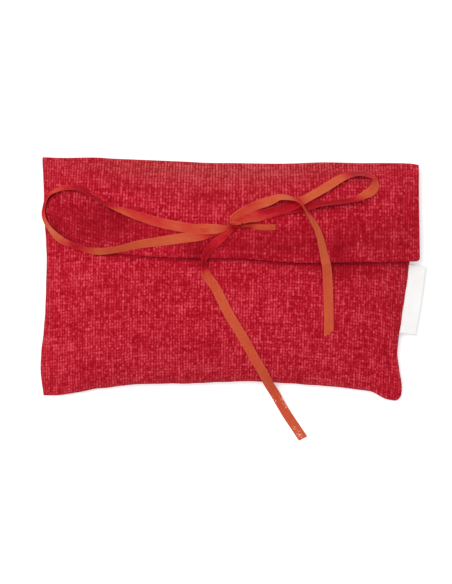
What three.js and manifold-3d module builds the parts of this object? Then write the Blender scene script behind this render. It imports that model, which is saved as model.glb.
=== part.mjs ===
import * as THREE from "three";
import { mergeVertices } from "three/addons/utils/BufferGeometryUtils.js";
import Module from "manifold-3d";

// A small cotton pouch that lies on its back, flap closed, tied with a ribbon bow.
// Millimetres, +Z up, +Y towards the top crease. The origin is at the middle of the underside.

const wasm = await Module();
wasm.setup();

// Body
const pouchWidth = 120;
const pouchHeight = 76;
const puffHeight = 15.5;
const clothThickness = 0.6;
const touchGap = 0.3;
const seamLift = 2.6; // the side and bottom seams above the table, half way along
const cornerLift = 0.8;
const creaseLift = 3;
const mouthDepth = 10; // from the top crease down to the front's free edge
const hemDepth = 7;
const hemThickness = 0.5;
const seamAllowance = 6;
const allowanceThickness = 0.5;
const allowanceInset = 2; // the allowance starts this far inside the seam, where there is room
const hemEndInset = 7.2; // the hem ends this far inside each side seam

// Flap
const flapDepth = 33;
const liningThickness = 0.4;
const liningInset = 1.6;
const flapClearance = 0.4;
const creaseAllowance = 5.5; // the lining ends this far from the crease

// Ribbon
const ribbonWidth = 3;
const ribbonThickness = 0.25;
const slitWidth = 1.4;
const slitSpacing = 24;
const bowDrop = 21.9; // from the crease down to the knot
const bowOffset = 1.7; // the middle between the slits, to the right of the pouch's middle
const knotShift = 1.1; // the knot lies this far to the left of the middle between the slits
const knotLength = 3.2;
const knotRadius = 1.5;
const knotHeight = 2.4;
const knotTurn = THREE.MathUtils.degToRad(35);
const knotEndShare = 0.7;

// The bow's free runs, each from the knot outwards: x, y and height of the ribbon's middle, then
// how far its right-hand edge is raised, in degrees
const loopLeftRoute = [
  [-1.4, 15.6, 19.1, 10],
  [-4.9, 15.1, 18.9, 10],
  [-10.3, 15.1, 18.3, 12],
  [-13.8, 15.2, 17.9, 12],
  [-18, 15.9, 17.4, 5],
  [-22.8, 16.7, 17, 0],
  [-27.5, 18.1, 16.6, 35],
  [-34.8, 20.4, 15.3, 60],
  [-39.3, 22.2, 14.1, 75],
  [-43.5, 24.1, 12.8, 85],
  [-46.7, 25.6, 11.6, 75],
  [-49.7, 26.7, 10.5, 62],
  [-53.5, 27.1, 9.4, 62],
  [-56.6, 26.2, 8.6, 68],
  [-58.8, 24, 8, 75],
  [-59.6, 21.2, 7.8, 80],
  [-59, 17.8, 8.1, 75],
  [-57.7, 14.6, 8.8, 60],
  [-55.6, 12.5, 10, 57],
  [-52.5, 10.8, 11.5, 60],
  [-49.8, 9.6, 12.7, 65],
  [-46.4, 8.6, 14, 60],
  [-43, 7.9, 14.9, 50],
  [-39.2, 7.8, 15.7, 45],
  [-34.5, 8.4, 16.5, 38],
  [-29.8, 9.5, 17, 25],
  [-25, 10.5, 17.3, 12],
  [-18, 11.7, 17.6, 5],
  [-13.6, 12.2, 17.7, 5],
  [-9.6, 12.7, 17.8, 5],
  [-6, 13.4, 17.9, 5],
  [-1.2, 15, 17.9, 5],
];
const loopRightRoute = [
  [2.6, 16.8, 18.9, -10],
  [5.2, 18, 18.5, -10],
  [7.6, 19.2, 18.2, -10],
  [10.7, 20.3, 17.8, -8],
  [13.8, 21.3, 17.3, -5],
  [16.9, 22.4, 16.7, -5],
  [20.1, 23.8, 15.8, -5],
  [23.3, 25.5, 14.7, -5],
  [26.5, 27.5, 13.9, -10],
  [29.8, 29.5, 13, -25],
  [33, 31.2, 12, -45],
  [36.1, 32.4, 11.1, -60],
  [39.2, 33.1, 10.5, -80],
  [42.4, 33.4, 10, -75],
  [44.9, 32.6, 10, -65],
  [45.8, 30.9, 10.4, -60],
  [45, 28.9, 11, -50],
  [42.7, 27.4, 11.8, -35],
  [39.4, 25.8, 13.1, -50],
  [36.2, 24.6, 14, -65],
  [32.9, 23.9, 14.8, -70],
  [29.7, 23.4, 15.1, -60],
  [26.5, 22.8, 15.1, -40],
  [23.3, 22, 15, -15],
  [20.1, 21.2, 15.4, -10],
  [16.9, 20.2, 15.9, -10],
  [12.2, 18.9, 17, -12],
  [7.6, 17.6, 17.6, -12],
  [2.7, 16.3, 17.8, -10],
];
const tailShortRoute = [
  [1.9, 17.6, 19.6, 0],
  [3.8, 19.5, 19.5, 0],
  [5.8, 21.2, 19.2, 5],
  [8.1, 22.8, 18.6, 5],
  [10.5, 23.9, 18.1, 5],
  [12.4, 24.7, 17.8, 20],
  [14.6, 25.3, 17.8, 50],
  [17.4, 25.2, 18.1, 65],
  [20, 24.2, 18.3, 68],
  [21.7, 22.9, 18.2, 70],
  [23.2, 21.3, 18, 68],
  [25.2, 18.6, 17.7, 57],
  [26.8, 16, 17.5, 50],
  [27.9, 13.2, 17.5, 45],
  [28.9, 9.2, 17.6, 35],
  [29.6, 6.2, 17.5, 25],
  [30.2, 3.6, 16.6, 15],
  [30.7, -0.4, 15, 10],
  [31, -4.7, 14, 6],
  [31.2, -8.8, 13.4, 6],
  [31.4, -12.5, 12.9, 6],
  [31.5, -16.9, 11.9, 6],
];
const tailLongRoute = [
  [-0.4, 14.5, 18.5, 0],
  [-3.6, 11.8, 18.6, 0],
  [-6.2, 9.2, 18.7, 10],
  [-7.7, 7.3, 18.9, 20],
  [-8.5, 5.4, 18.8, 35],
  [-8.4, 3.5, 18, 55],
  [-7.4, 1, 17, 35],
  [-4.9, -2.6, 16.2, 15],
  [-2.6, -7, 15.7, 5],
  [-0.2, -11.5, 15.1, 0],
  [2, -15, 14.4, -5],
  [4.3, -18.6, 13.4, -8],
  [8, -25.1, 10.9, -13],
  [10.4, -29, 8.7, -18],
  [12.9, -33, 5.2, -20],
  [14.6, -36.5, 2.4, -10],
  [16.6, -40, 1, 0],
  [18.6, -43.2, 0.5, 0],
  [21.1, -46.9, 0.4, 0],
  [23.9, -50.6, 0.4, 0],
];

// Side tape
const tapeLength = 22;
const tapeReach = 5.8;
const tapeThickness = 0.25;
const tapeStart = 32.4; // from the crease down to the tape's upper end
const tapeDroop = THREE.MathUtils.degToRad(12);

// The outline, as shares of the pouch's width or height along each edge
const leftInShares = [
  [0, 0.01], [0.09, 0.002], [0.18, 0.003], [0.32, 0.012], [0.6, 0.013], [0.72, 0.008], [0.88, 0.002], [1, 0],
];
const rightInShares = [
  [0, 0.046], [0.06, 0.042], [0.13, 0.049], [0.21, 0.055], [0.39, 0.043], [0.58, 0.028], [0.75, 0.02],
  [1, 0.007],
];
const bottomRiseShares = [
  [0, 0], [0.07, 0.012], [0.14, 0.033], [0.33, 0.058], [0.56, 0.074], [0.81, 0.058], [0.92, 0.034],
  [0.96, 0.01], [1, 0],
];
const flapLeftInShares = [[0, 0], [0.45, 0.004], [0.75, 0.008], [1, 0.012]];
const flapRightInShares = [[0, 0.006], [0.5, 0.003], [1, 0.001]];
const flapDepthShares = [
  [0, 0.79], [0.04, 0.86], [0.1, 0.91], [0.29, 0.96], [0.4, 0.97], [0.52, 0.955], [0.65, 0.995], [0.75, 0.99],
  [0.98, 0.96], [1, 0.93],
];

// How the cloth crowns: powers of the puff and shares of the width or height
const crownPower = 2.6;
const endPower = 2.4;
const sideSlopeShare = 0.75;
const backRiseShare = 0.1;
const creaseStraightShare = 0.8;
const layerSpreadShare = 0.25;
const edgeCrowdingShare = 0.5;
const slopeStepShare = 0.001;

// How finely the surfaces are divided
const clothColumns = 26;
const panelRows = 18;
const flapRows = 14;
const liningRows = 12;
const stripRows = 2;
const bandSteps = 64;
const stepsPerPoint = 2;
const placeRounds = 12;

const halfWidth = pouchWidth / 2;
const halfHeight = pouchHeight / 2;
const seamStack = 2 * clothThickness + touchGap;
const bandGap = ribbonThickness + 2 * touchGap; // room for the ribbon between flap and lining
const hingeHeight = creaseLift + clothThickness + touchGap / 2;

const { clamp, lerp, smoothstep } = THREE.MathUtils;
const ease = (share) => smoothstep(share, 0, 1);

// A smooth curve through pairs of [place, value], as a function of the place
function curveThrough(pairs) {
  const slopeAt = (k) => {
    const before = pairs[Math.max(k - 1, 0)];
    const after = pairs[Math.min(k + 1, pairs.length - 1)];
    return (after[1] - before[1]) / (after[0] - before[0]);
  };
  return (place) => {
    let k = 0;
    while (k < pairs.length - 2 && pairs[k + 1][0] < place) k += 1;
    const span = pairs[k + 1][0] - pairs[k][0];
    const t = (place - pairs[k][0]) / span;
    const blend = t * t * (3 - 2 * t);
    const leave = slopeAt(k) * span * t * (1 - t) * (1 - t);
    const arrive = slopeAt(k + 1) * span * t * t * (1 - t);
    return lerp(pairs[k][1], pairs[k + 1][1], blend) + leave - arrive;
  };
}

const leftIn = curveThrough(leftInShares);
const rightIn = curveThrough(rightInShares);
const bottomRise = curveThrough(bottomRiseShares);
const flapLeftIn = curveThrough(flapLeftInShares);
const flapRightIn = curveThrough(flapRightInShares);
const flapDepthShare = curveThrough(flapDepthShares);

// Places on the body: u runs from the left seam to the right, v from the bottom fold to the crease
const bodyX = (u, v) => lerp(-halfWidth + pouchWidth * leftIn(v), halfWidth - pouchWidth * rightIn(v), u);
const bodyY = (u, v) => lerp(-halfHeight + pouchHeight * bottomRise(u), halfHeight, v);
const mouthShare = 1 - mouthDepth / pouchHeight;

// The height of the seams and the crease above the table
function seamHeight(u, v) {
  const alongEdge = Math.min(1, Math.hypot(Math.sin(Math.PI * u), Math.sin(Math.PI * v)));
  const nearCrease = ease((v - creaseStraightShare) / (1 - creaseStraightShare));
  return lerp(lerp(cornerLift, seamLift, alongEdge), creaseLift, nearCrease);
}

function backHeight(u, v) {
  const inFrom = (share) => 1 - (1 - clamp(share / backRiseShare, 0, 1)) ** 2;
  const flat = inFrom(u) * inFrom(1 - u) * inFrom(v) * inFrom(1 - v);
  return seamHeight(u, v) * (1 - flat);
}

function frontHeight(u, v) {
  const across = (1 - Math.abs(2 * u - 1) ** crownPower) ** sideSlopeShare;
  const along = (1 - Math.abs(2 * v - 1) ** endPower) ** (v < 0.5 ? sideSlopeShare : 1);
  const fullness = puffHeight - seamLift - seamStack;
  return seamHeight(u, v) + seamStack + fullness * across * along;
}

const backOuter = (u, v) => new THREE.Vector3(bodyX(u, v), bodyY(u, v), backHeight(u, v));
const frontOuter = (u, v) => new THREE.Vector3(bodyX(u, v), bodyY(u, v), frontHeight(u, v));

// Places on the flap: u as on the body, t from the crease to the free edge
const layerGap = (u) => lerp(touchGap, bandGap, ease(Math.min(u, 1 - u) / layerSpreadShare));
const flapStack = (u) => flapClearance + liningThickness + layerGap(u) + clothThickness;

function flapOuter(u, t) {
  const x = lerp(-halfWidth + pouchWidth * flapLeftIn(t), halfWidth - pouchWidth * flapRightIn(t), u);
  const y = halfHeight - flapDepth * flapDepthShare(u) * t;
  const foot = bodyY(u, 0);
  const v = (y - foot) / (halfHeight - foot);
  const overFront = frontHeight(u, v) + flapStack(u);
  const creaseTop = hingeHeight + touchGap / 2 + clothThickness;
  const away = Math.sin((Math.PI / 2) * clamp((1 - v) / (1 - mouthShare), 0, 1));
  return new THREE.Vector3(x, y, lerp(creaseTop, overFront, away));
}

// The place on the flap's outer face that lies over a point of the table
function flapPlace(x, y) {
  let u = 0.5;
  let t = 0.5;
  for (let round = 0; round < placeRounds; round += 1) {
    t = (halfHeight - y) / (flapDepth * flapDepthShare(u));
    const left = -halfWidth + pouchWidth * flapLeftIn(t);
    const right = halfWidth - pouchWidth * flapRightIn(t);
    u = (x - left) / (right - left);
  }
  return flapOuter(u, t);
}

// The surface that lies a distance off another one, along its upward normal
function offsetFrom(surface, distanceAt) {
  return (u, v) => {
    const near = (share) => clamp(share - slopeStepShare, 0, 1);
    const far = (share) => clamp(share + slopeStepShare, 0, 1);
    const across = surface(far(u), v).sub(surface(near(u), v));
    const along = surface(u, far(v)).sub(surface(u, near(v)));
    const normal = across.cross(along).normalize();
    if (normal.z < 0) normal.negate();
    return surface(u, v).addScaledVector(normal, distanceAt(u, v));
  };
}

const crowded = (share) => lerp(share, (1 - Math.cos(Math.PI * share)) / 2, edgeCrowdingShare);

// A closed sheet between an upper and a lower surface, over a range of u and of v
function sheetBetween(upper, lower, uRange, vRange, columns, rows) {
  const positions = [];
  [upper, lower].forEach((surface) => {
    for (let j = 0; j <= rows; j += 1) {
      for (let i = 0; i <= columns; i += 1) {
        const u = lerp(uRange[0], uRange[1], crowded(i / columns));
        const v = lerp(vRange[0], vRange[1], crowded(j / rows));
        positions.push(...surface(u, v).toArray());
      }
    }
  });
  const at = (side, i, j) => side * (columns + 1) * (rows + 1) + j * (columns + 1) + i;
  const faces = [];
  const quad = (a, b, c, d) => faces.push(a, b, c, a, c, d);
  for (let j = 0; j < rows; j += 1) {
    for (let i = 0; i < columns; i += 1) {
      quad(at(0, i, j), at(0, i + 1, j), at(0, i + 1, j + 1), at(0, i, j + 1));
      quad(at(1, i, j), at(1, i, j + 1), at(1, i + 1, j + 1), at(1, i + 1, j));
    }
  }
  for (let i = 0; i < columns; i += 1) {
    quad(at(1, i, 0), at(1, i + 1, 0), at(0, i + 1, 0), at(0, i, 0));
    quad(at(0, i, rows), at(0, i + 1, rows), at(1, i + 1, rows), at(1, i, rows));
  }
  for (let j = 0; j < rows; j += 1) {
    quad(at(0, 0, j), at(0, 0, j + 1), at(1, 0, j + 1), at(1, 0, j));
    quad(at(1, columns, j), at(1, columns, j + 1), at(0, columns, j + 1), at(0, columns, j));
  }
  const geometry = new THREE.BufferGeometry();
  geometry.setAttribute("position", new THREE.Float32BufferAttribute(positions, 3));
  geometry.setIndex(faces);
  return geometry;
}

// The flap's v runs from the crease outwards, which turns its faces round
function flapSheet(upper, lower, uRange, tRange, columns, rows) {
  const turned = (surface) => (u, v) => surface(u, 1 - v);
  return sheetBetween(turned(upper), turned(lower), uRange, [1 - tRange[1], 1 - tRange[0]], columns, rows);
}

const fixed = (distance) => () => distance;

function backPanel() {
  const inner = offsetFrom(backOuter, fixed(clothThickness));
  return sheetBetween(inner, backOuter, [0, 1], [0, 1], clothColumns, panelRows);
}

function frontPanel() {
  const inner = offsetFrom(frontOuter, fixed(-clothThickness));
  return sheetBetween(frontOuter, inner, [0, 1], [0, mouthShare], clothColumns, panelRows);
}

// The hem turned in behind the front's free edge, between the two side seams
function mouthHem() {
  const depth = clothThickness + touchGap;
  const upper = offsetFrom(frontOuter, fixed(-depth));
  const lower = offsetFrom(frontOuter, fixed(-depth - hemThickness));
  const end = hemEndInset / pouchWidth;
  const foot = mouthShare - hemDepth / pouchHeight;
  return sheetBetween(upper, lower, [end, 1 - end], [foot, mouthShare], clothColumns, stripRows);
}

// The cloth left inside a side seam, pressed towards the back
function seamStrip(side) {
  const lower = offsetFrom(backOuter, fixed(clothThickness + touchGap));
  const upper = offsetFrom(backOuter, fixed(clothThickness + touchGap + allowanceThickness));
  const outer = allowanceInset / pouchWidth;
  const inner = seamAllowance / pouchWidth;
  const range = side === "left" ? [outer, inner] : [1 - inner, 1 - outer];
  return sheetBetween(upper, lower, range, [backRiseShare, mouthShare], stripRows, panelRows);
}

// The slits' places, level with the knot
const bowY = halfHeight - bowDrop;
const slitXs = [bowOffset - slitSpacing / 2, bowOffset + slitSpacing / 2];

function manifoldOf(geometry) {
  const bare = geometry.clone();
  bare.deleteAttribute("normal");
  bare.deleteAttribute("uv");
  const merged = mergeVertices(bare);
  const mesh = new wasm.Mesh({
    numProp: 3,
    vertProperties: merged.attributes.position.array,
    triVerts: new Uint32Array(merged.index.array),
  });
  return new wasm.Manifold(mesh);
}

function geometryOf(solid) {
  const mesh = solid.getMesh();
  const geometry = new THREE.BufferGeometry();
  geometry.setAttribute("position", new THREE.BufferAttribute(mesh.vertProperties, 3));
  geometry.setIndex(new THREE.BufferAttribute(mesh.triVerts, 1));
  return geometry;
}

function flapCloth() {
  const inner = offsetFrom(flapOuter, fixed(-clothThickness));
  let solid = manifoldOf(flapSheet(flapOuter, inner, [0, 1], [0, 1], clothColumns, flapRows));
  slitXs.forEach((x) => {
    const slit = new THREE.BoxGeometry(slitWidth, ribbonWidth + 2 * touchGap, 4 * clothThickness);
    const middle = flapPlace(x, bowY);
    slit.translate(middle.x, middle.y, middle.z - clothThickness / 2);
    solid = solid.subtract(manifoldOf(slit));
  });
  return geometryOf(solid);
}

function flapLining() {
  const depth = (u) => -clothThickness - layerGap(u);
  const upper = offsetFrom(flapOuter, depth);
  const lower = offsetFrom(flapOuter, (u) => depth(u) - liningThickness);
  const end = liningInset / pouchWidth;
  const depthRange = [creaseAllowance / flapDepth, 1 - liningInset / flapDepth];
  return flapSheet(upper, lower, [end, 1 - end], depthRange, clothColumns, liningRows);
}

// A flat ribbon along a route: frameAt gives its middle and its width direction at a share of it
function ribbonAlong(frameAt, steps) {
  const positions = [];
  for (let k = 0; k <= steps; k += 1) {
    const { middle, across, normal } = frameAt(k / steps);
    [[-1, -1], [1, -1], [1, 1], [-1, 1]].forEach(([side, face]) => {
      const corner = middle.clone();
      corner.addScaledVector(across, (side * ribbonWidth) / 2);
      corner.addScaledVector(normal, (face * ribbonThickness) / 2);
      positions.push(...corner.toArray());
    });
  }
  const faces = [];
  const corners = 4;
  for (let k = 0; k < steps; k += 1) {
    for (let c = 0; c < corners; c += 1) {
      const here = k * corners + c;
      const next = k * corners + ((c + 1) % corners);
      faces.push(here, next, next + corners, here, next + corners, here + corners);
    }
  }
  const last = steps * corners;
  faces.push(0, 2, 1, 0, 3, 2, last, last + 1, last + 2, last, last + 2, last + 3);
  const geometry = new THREE.BufferGeometry();
  geometry.setAttribute("position", new THREE.Float32BufferAttribute(positions, 3));
  geometry.setIndex(faces);
  return geometry;
}

// A free run of the bow: its width direction is level where the raised angle is zero
function ribbonRun(route) {
  const middles = route.map(([x, y, z]) => new THREE.Vector3(x, y, z));
  const path = new THREE.CatmullRomCurve3(middles, false, "centripetal");
  const last = route.length - 1;
  const rise = curveThrough(route.map((point, k) => [k / last, THREE.MathUtils.degToRad(point[3])]));
  const up = new THREE.Vector3(0, 0, 1);
  return ribbonAlong((share) => {
    const tangent = path.getTangent(share);
    const right = tangent.clone().cross(up).normalize();
    const level = right.clone().cross(tangent);
    const across = right.multiplyScalar(Math.cos(rise(share))).addScaledVector(level, Math.sin(rise(share)));
    return { middle: path.getPoint(share), across, normal: tangent.cross(across).normalize() };
  }, stepsPerPoint * last);
}

// The knot: a crowned roll of ribbon over the band, flatter than it is wide
function ribbonKnot() {
  const halfLength = knotLength / 2;
  const endRadius = knotRadius * knotEndShare;
  const profile = [new THREE.Vector2(0, -halfLength)];
  const crown = new THREE.QuadraticBezierCurve(
    new THREE.Vector2(endRadius, -halfLength),
    new THREE.Vector2(2 * knotRadius - endRadius, 0),
    new THREE.Vector2(endRadius, halfLength),
  );
  profile.push(...crown.getPoints(8), new THREE.Vector2(0, halfLength));
  const geometry = new THREE.LatheGeometry(profile, 20);
  geometry.rotateZ(knotTurn - Math.PI / 2);
  geometry.scale(1, 1, knotHeight / (2 * knotRadius));
  const seat = flapPlace(bowOffset - knotShift, bowY);
  const clearance = touchGap + ribbonThickness + touchGap + knotHeight / 2;
  geometry.translate(seat.x, seat.y, seat.z + clearance);
  return geometry;
}

// The ribbon's run through both slits: along the flap's face, down a slit and back behind the cloth
function ribbonBand() {
  const above = touchGap + ribbonThickness / 2;
  const below = clothThickness + touchGap + ribbonThickness / 2;
  const turn = (above + below) / 2;
  const runPoints = 6;
  const points = [];
  const [leftX, rightX] = slitXs;
  const place = (x, height) => flapPlace(x, bowY).add(new THREE.Vector3(0, 0, height));
  const start = bowOffset - knotShift;
  const addRun = (fromX, toX, height) => {
    for (let k = 0; k <= runPoints; k += 1) points.push(place(lerp(fromX, toX, k / runPoints), height));
  };
  addRun(start, rightX - turn / 2, above);
  points.push(place(rightX, above - turn).add(new THREE.Vector3(turn / 2, 0, 0)));
  addRun(rightX - turn / 2, leftX + turn / 2, -below);
  points.push(place(leftX, above - turn).add(new THREE.Vector3(-turn / 2, 0, 0)));
  addRun(leftX + turn / 2, start - touchGap, above);
  const curve = new THREE.CatmullRomCurve3(points, false, "centripetal");
  const far = flapPlace(bowOffset, bowY + ribbonWidth / 2);
  const across = far.sub(flapPlace(bowOffset, bowY - ribbonWidth / 2)).normalize();
  return ribbonAlong((share) => {
    const tangent = curve.getTangentAt(share);
    return { middle: curve.getPointAt(share), across, normal: tangent.cross(across).normalize() };
  }, bandSteps);
}

// Materials
const redCotton = new THREE.MeshStandardMaterial({ color: 0xb51c30, roughness: 0.92, metalness: 0 });
const liningCotton = new THREE.MeshStandardMaterial({ color: 0xa81a2c, roughness: 0.94, metalness: 0 });
const orangeSatin = new THREE.MeshStandardMaterial({ color: 0xd2602f, roughness: 0.42, metalness: 0 });
const whiteTape = new THREE.MeshStandardMaterial({ color: 0xf4f2ee, roughness: 0.6, metalness: 0 });

function named(name, geometry, material) {
  const mesh = new THREE.Mesh(geometry, material);
  mesh.name = name;
  return mesh;
}

// The tape: folded double, its two layers against the side seam and its fold outwards
function sideTape() {
  const outerRadius = tapeThickness + touchGap / 2;
  const innerRadius = touchGap / 2;
  const straight = tapeReach - outerRadius;
  const section = new THREE.Shape();
  section.moveTo(0, -outerRadius);
  section.lineTo(straight, -outerRadius);
  section.absarc(straight, 0, outerRadius, -Math.PI / 2, Math.PI / 2, false);
  section.lineTo(0, outerRadius);
  section.lineTo(0, innerRadius);
  section.lineTo(straight, innerRadius);
  section.absarc(straight, 0, innerRadius, Math.PI / 2, -Math.PI / 2, true);
  section.lineTo(0, -innerRadius);
  return new THREE.ExtrudeGeometry(section, { depth: tapeLength, bevelEnabled: false, curveSegments: 8 });
}

const root = new THREE.Group();
const pouchGroup = new THREE.Group();
const flapGroup = new THREE.Group();
const tapeGroup = new THREE.Group();
root.add(pouchGroup, flapGroup, tapeGroup);

pouchGroup.add(
  named("back_panel", backPanel(), redCotton),
  named("front_panel", frontPanel(), redCotton),
  named("mouth_hem", mouthHem(), redCotton),
  named("side_seam_left", seamStrip("left"), redCotton),
  named("side_seam_right", seamStrip("right"), redCotton),
);
flapGroup.add(
  named("flap_outer", flapCloth(), redCotton),
  named("flap_lining", flapLining(), liningCotton),
  named("ribbon_band", ribbonBand(), orangeSatin),
  named("ribbon_knot", ribbonKnot(), orangeSatin),
  named("ribbon_loop_left", ribbonRun(loopLeftRoute), orangeSatin),
  named("ribbon_loop_right", ribbonRun(loopRightRoute), orangeSatin),
  named("ribbon_tail_short", ribbonRun(tailShortRoute), orangeSatin),
  named("ribbon_tail_long", ribbonRun(tailLongRoute), orangeSatin),
);

// The tape lies along the right seam, between two points of it
const tapeTopShare = 1 - tapeStart / pouchHeight;
const tapeFootShare = 1 - (tapeStart + tapeLength) / pouchHeight;
const seamPoint = (v) => new THREE.Vector3(bodyX(1, v), bodyY(1, v), seamHeight(1, v) + seamStack / 2);
const tapeTop = seamPoint(tapeTopShare);
const tapeFoot = seamPoint(tapeFootShare);
const tapeLine = tapeTop.clone().sub(tapeFoot).normalize();
const tapeAcross = new THREE.Vector3(tapeLine.y, -tapeLine.x, 0).normalize();
const tape = named("side_tape", sideTape(), whiteTape);
const tapeDown = tapeLine.clone().negate();
const tapeUp = tapeDown.clone().cross(tapeAcross);
tape.rotation.setFromRotationMatrix(new THREE.Matrix4().makeBasis(tapeAcross, tapeUp, tapeDown));
tape.rotateZ(-tapeDroop);
tape.position.copy(tapeTop).addScaledVector(tapeAcross, touchGap);
tapeGroup.add(tape);

export default root;
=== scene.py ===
import math
import bpy
import numpy as np
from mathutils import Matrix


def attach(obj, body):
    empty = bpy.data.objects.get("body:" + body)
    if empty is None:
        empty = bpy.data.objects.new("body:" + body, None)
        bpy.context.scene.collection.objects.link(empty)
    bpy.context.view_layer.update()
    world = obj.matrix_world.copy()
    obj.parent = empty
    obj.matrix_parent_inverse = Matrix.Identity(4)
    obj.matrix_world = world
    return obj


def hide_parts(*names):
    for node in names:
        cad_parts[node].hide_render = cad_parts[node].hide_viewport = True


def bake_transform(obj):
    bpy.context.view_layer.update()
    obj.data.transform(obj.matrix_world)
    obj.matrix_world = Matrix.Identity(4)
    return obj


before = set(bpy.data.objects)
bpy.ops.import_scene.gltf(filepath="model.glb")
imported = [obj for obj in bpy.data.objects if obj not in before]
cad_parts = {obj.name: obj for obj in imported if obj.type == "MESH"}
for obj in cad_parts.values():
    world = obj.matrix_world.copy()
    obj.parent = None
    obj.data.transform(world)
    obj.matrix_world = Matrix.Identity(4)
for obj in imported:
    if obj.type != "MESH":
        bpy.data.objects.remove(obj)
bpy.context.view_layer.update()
mm = 0.001

# The camera looks straight down, turned a little so that the crease lies as in the photograph
cameraView = {"place": (-1.36, -4.32, 520), "turn": 0.95, "lens": 99.9, "sensor": 36, "near": 0.01, "far": 20}


def makeCamera():
    data = bpy.data.cameras.new("camera")
    data.lens = cameraView["lens"]
    data.sensor_width = cameraView["sensor"]
    data.clip_start, data.clip_end = cameraView["near"], cameraView["far"]
    camera = bpy.data.objects.new("camera", data)
    camera.location = [x * mm for x in cameraView["place"]]
    camera.rotation_euler = (0, 0, math.radians(cameraView["turn"]))
    bpy.context.scene.collection.objects.link(camera)
    bpy.context.scene.camera = camera


makeCamera()
print("camera made")


# Small helpers for curves, noise and meshes; lengths in the dictionaries are millimetres
def lerp(a, b, share):
    return a + (b - a) * share


def ease(share):
    share = np.clip(share, 0, 1)
    return share * share * (3 - 2 * share)


def crowded(count, share):  # places from 0 to 1 that crowd towards both ends
    s = np.linspace(0, 1, count)
    return lerp(s, (1 - np.cos(math.pi * s)) / 2, share)


def rounded(distance, radius):  # 0 on an edge, and 1 from a radius inside it
    return np.sqrt(1 - (1 - np.clip(distance / radius, 0, 1)) ** 2)


def nearEdge(distance, radius):  # 1 on an edge, and 0 from a radius inside it
    return np.clip(1 - distance / radius, 0, 1)


def cutIn(near, other, radius):  # how far a rounded corner draws an edge in
    return radius * near * (1 - np.sqrt(1 - other ** 2 / 2))


def unit(vectors):
    return vectors / np.maximum(np.linalg.norm(vectors, axis=-1, keepdims=True), 1e-9)


def curveThrough(pairs):  # a smooth curve through pairs of place and value
    places = np.array([p[0] for p in pairs], float)
    values = np.array([p[1] for p in pairs], float)
    before = np.maximum(np.arange(len(pairs)) - 1, 0)
    after = np.minimum(np.arange(len(pairs)) + 1, len(pairs) - 1)
    slopes = (values[after] - values[before]) / (places[after] - places[before])

    def value(place):
        place = np.asarray(place, float)
        k = np.clip(np.searchsorted(places, place) - 1, 0, len(pairs) - 2)
        span = places[k + 1] - places[k]
        t = (place - places[k]) / span
        leave = slopes[k] * span * t * (1 - t) ** 2
        arrive = slopes[k + 1] * span * t * t * (1 - t)
        return lerp(values[k], values[k + 1], t * t * (3 - 2 * t)) + leave - arrive

    return value


def smoothLine(points, steps):  # a centripetal curve through points
    points = np.asarray(points, float)
    ends = [2 * points[0] - points[1], *points, 2 * points[-1] - points[-2]]
    line = []
    for k in range(len(points) - 1):
        p0, p1, p2, p3 = ends[k:k + 4]
        spans = [max(np.linalg.norm(b[:3] - a[:3]) ** 0.5, 1e-4) for a, b in ((p0, p1), (p1, p2), (p2, p3))]
        t1, t2 = spans[0], spans[0] + spans[1]
        t3 = t2 + spans[2]
        for share in np.arange(steps) / steps:
            t = lerp(t1, t2, share)
            a1 = (t1 - t) / t1 * p0 + t / t1 * p1
            a2 = (t2 - t) / (t2 - t1) * p1 + (t - t1) / (t2 - t1) * p2
            a3 = (t3 - t) / (t3 - t2) * p2 + (t - t2) / (t3 - t2) * p3
            b1 = (t2 - t) / t2 * a1 + t / t2 * a2
            b2 = (t3 - t) / (t3 - t1) * a2 + (t - t1) / (t3 - t1) * a3
            line.append((t2 - t) / (t2 - t1) * b1 + (t - t1) / (t2 - t1) * b2)
    line.append(points[-1])
    return np.array(line)


def waves(seed, count, longest, shortest):  # smooth seeded noise over x and y, about -1 to 1
    rng = np.random.default_rng(seed)
    angles = rng.uniform(0, 2 * math.pi, count)
    lengths = np.geomspace(longest, shortest, count)
    phases = rng.uniform(0, 2 * math.pi, count)
    weights = np.sqrt(lengths / longest)

    def value(x, y):
        total = 0
        for angle, length, phase, weight in zip(angles, lengths, phases, weights):
            across = x * math.cos(angle) + y * math.sin(angle)
            total = total + weight * np.sin(2 * math.pi * across / length + phase)
        return total / weights.sum()

    return value


def addValues(mesh, name, values):  # one number for each point, which a material reads by its name
    layer = mesh.attributes.new(name, "FLOAT", "POINT")
    layer.data.foreach_set("value", np.asarray(values, np.float32).ravel())


def makeMesh(name, points, faces, uv, material, tones=None):
    mesh = bpy.data.meshes.new(name)
    mesh.from_pydata((np.asarray(points) * mm).tolist(), [], [list(map(int, f)) for f in faces])
    mesh.polygons.foreach_set("use_smooth", [True] * len(mesh.polygons))
    corners = np.zeros(len(mesh.loops), np.int32)
    mesh.loops.foreach_get("vertex_index", corners)
    layer = mesh.uv_layers.new(name="thread")
    layer.data.foreach_set("uv", np.asarray(uv, np.float32)[corners].ravel())
    if tones is not None:
        addValues(mesh, "tone", tones)
    mesh.update()
    mesh.materials.append(material)
    piece = bpy.data.objects.new(name, mesh)
    bpy.context.scene.collection.objects.link(piece)
    return piece


def makeSheet(name, grid, uv, material, tones=None, flip=False):  # a grid of points as one sheet
    rows, columns = grid.shape[:2]
    j, i = np.mgrid[0:rows - 1, 0:columns - 1]
    a = (j * columns + i).ravel()
    faces = np.stack([a, a + 1, a + columns + 1, a + columns], 1)
    faces = faces[:, ::-1] if flip else faces
    return makeMesh(name, grid.reshape(-1, 3), faces, uv.reshape(-1, 2), material, tones)


def thicken(piece, thickness, offset=-1):
    thick = piece.modifiers.new("thickness", "SOLIDIFY")
    thick.thickness = thickness * mm
    thick.offset = offset


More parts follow.
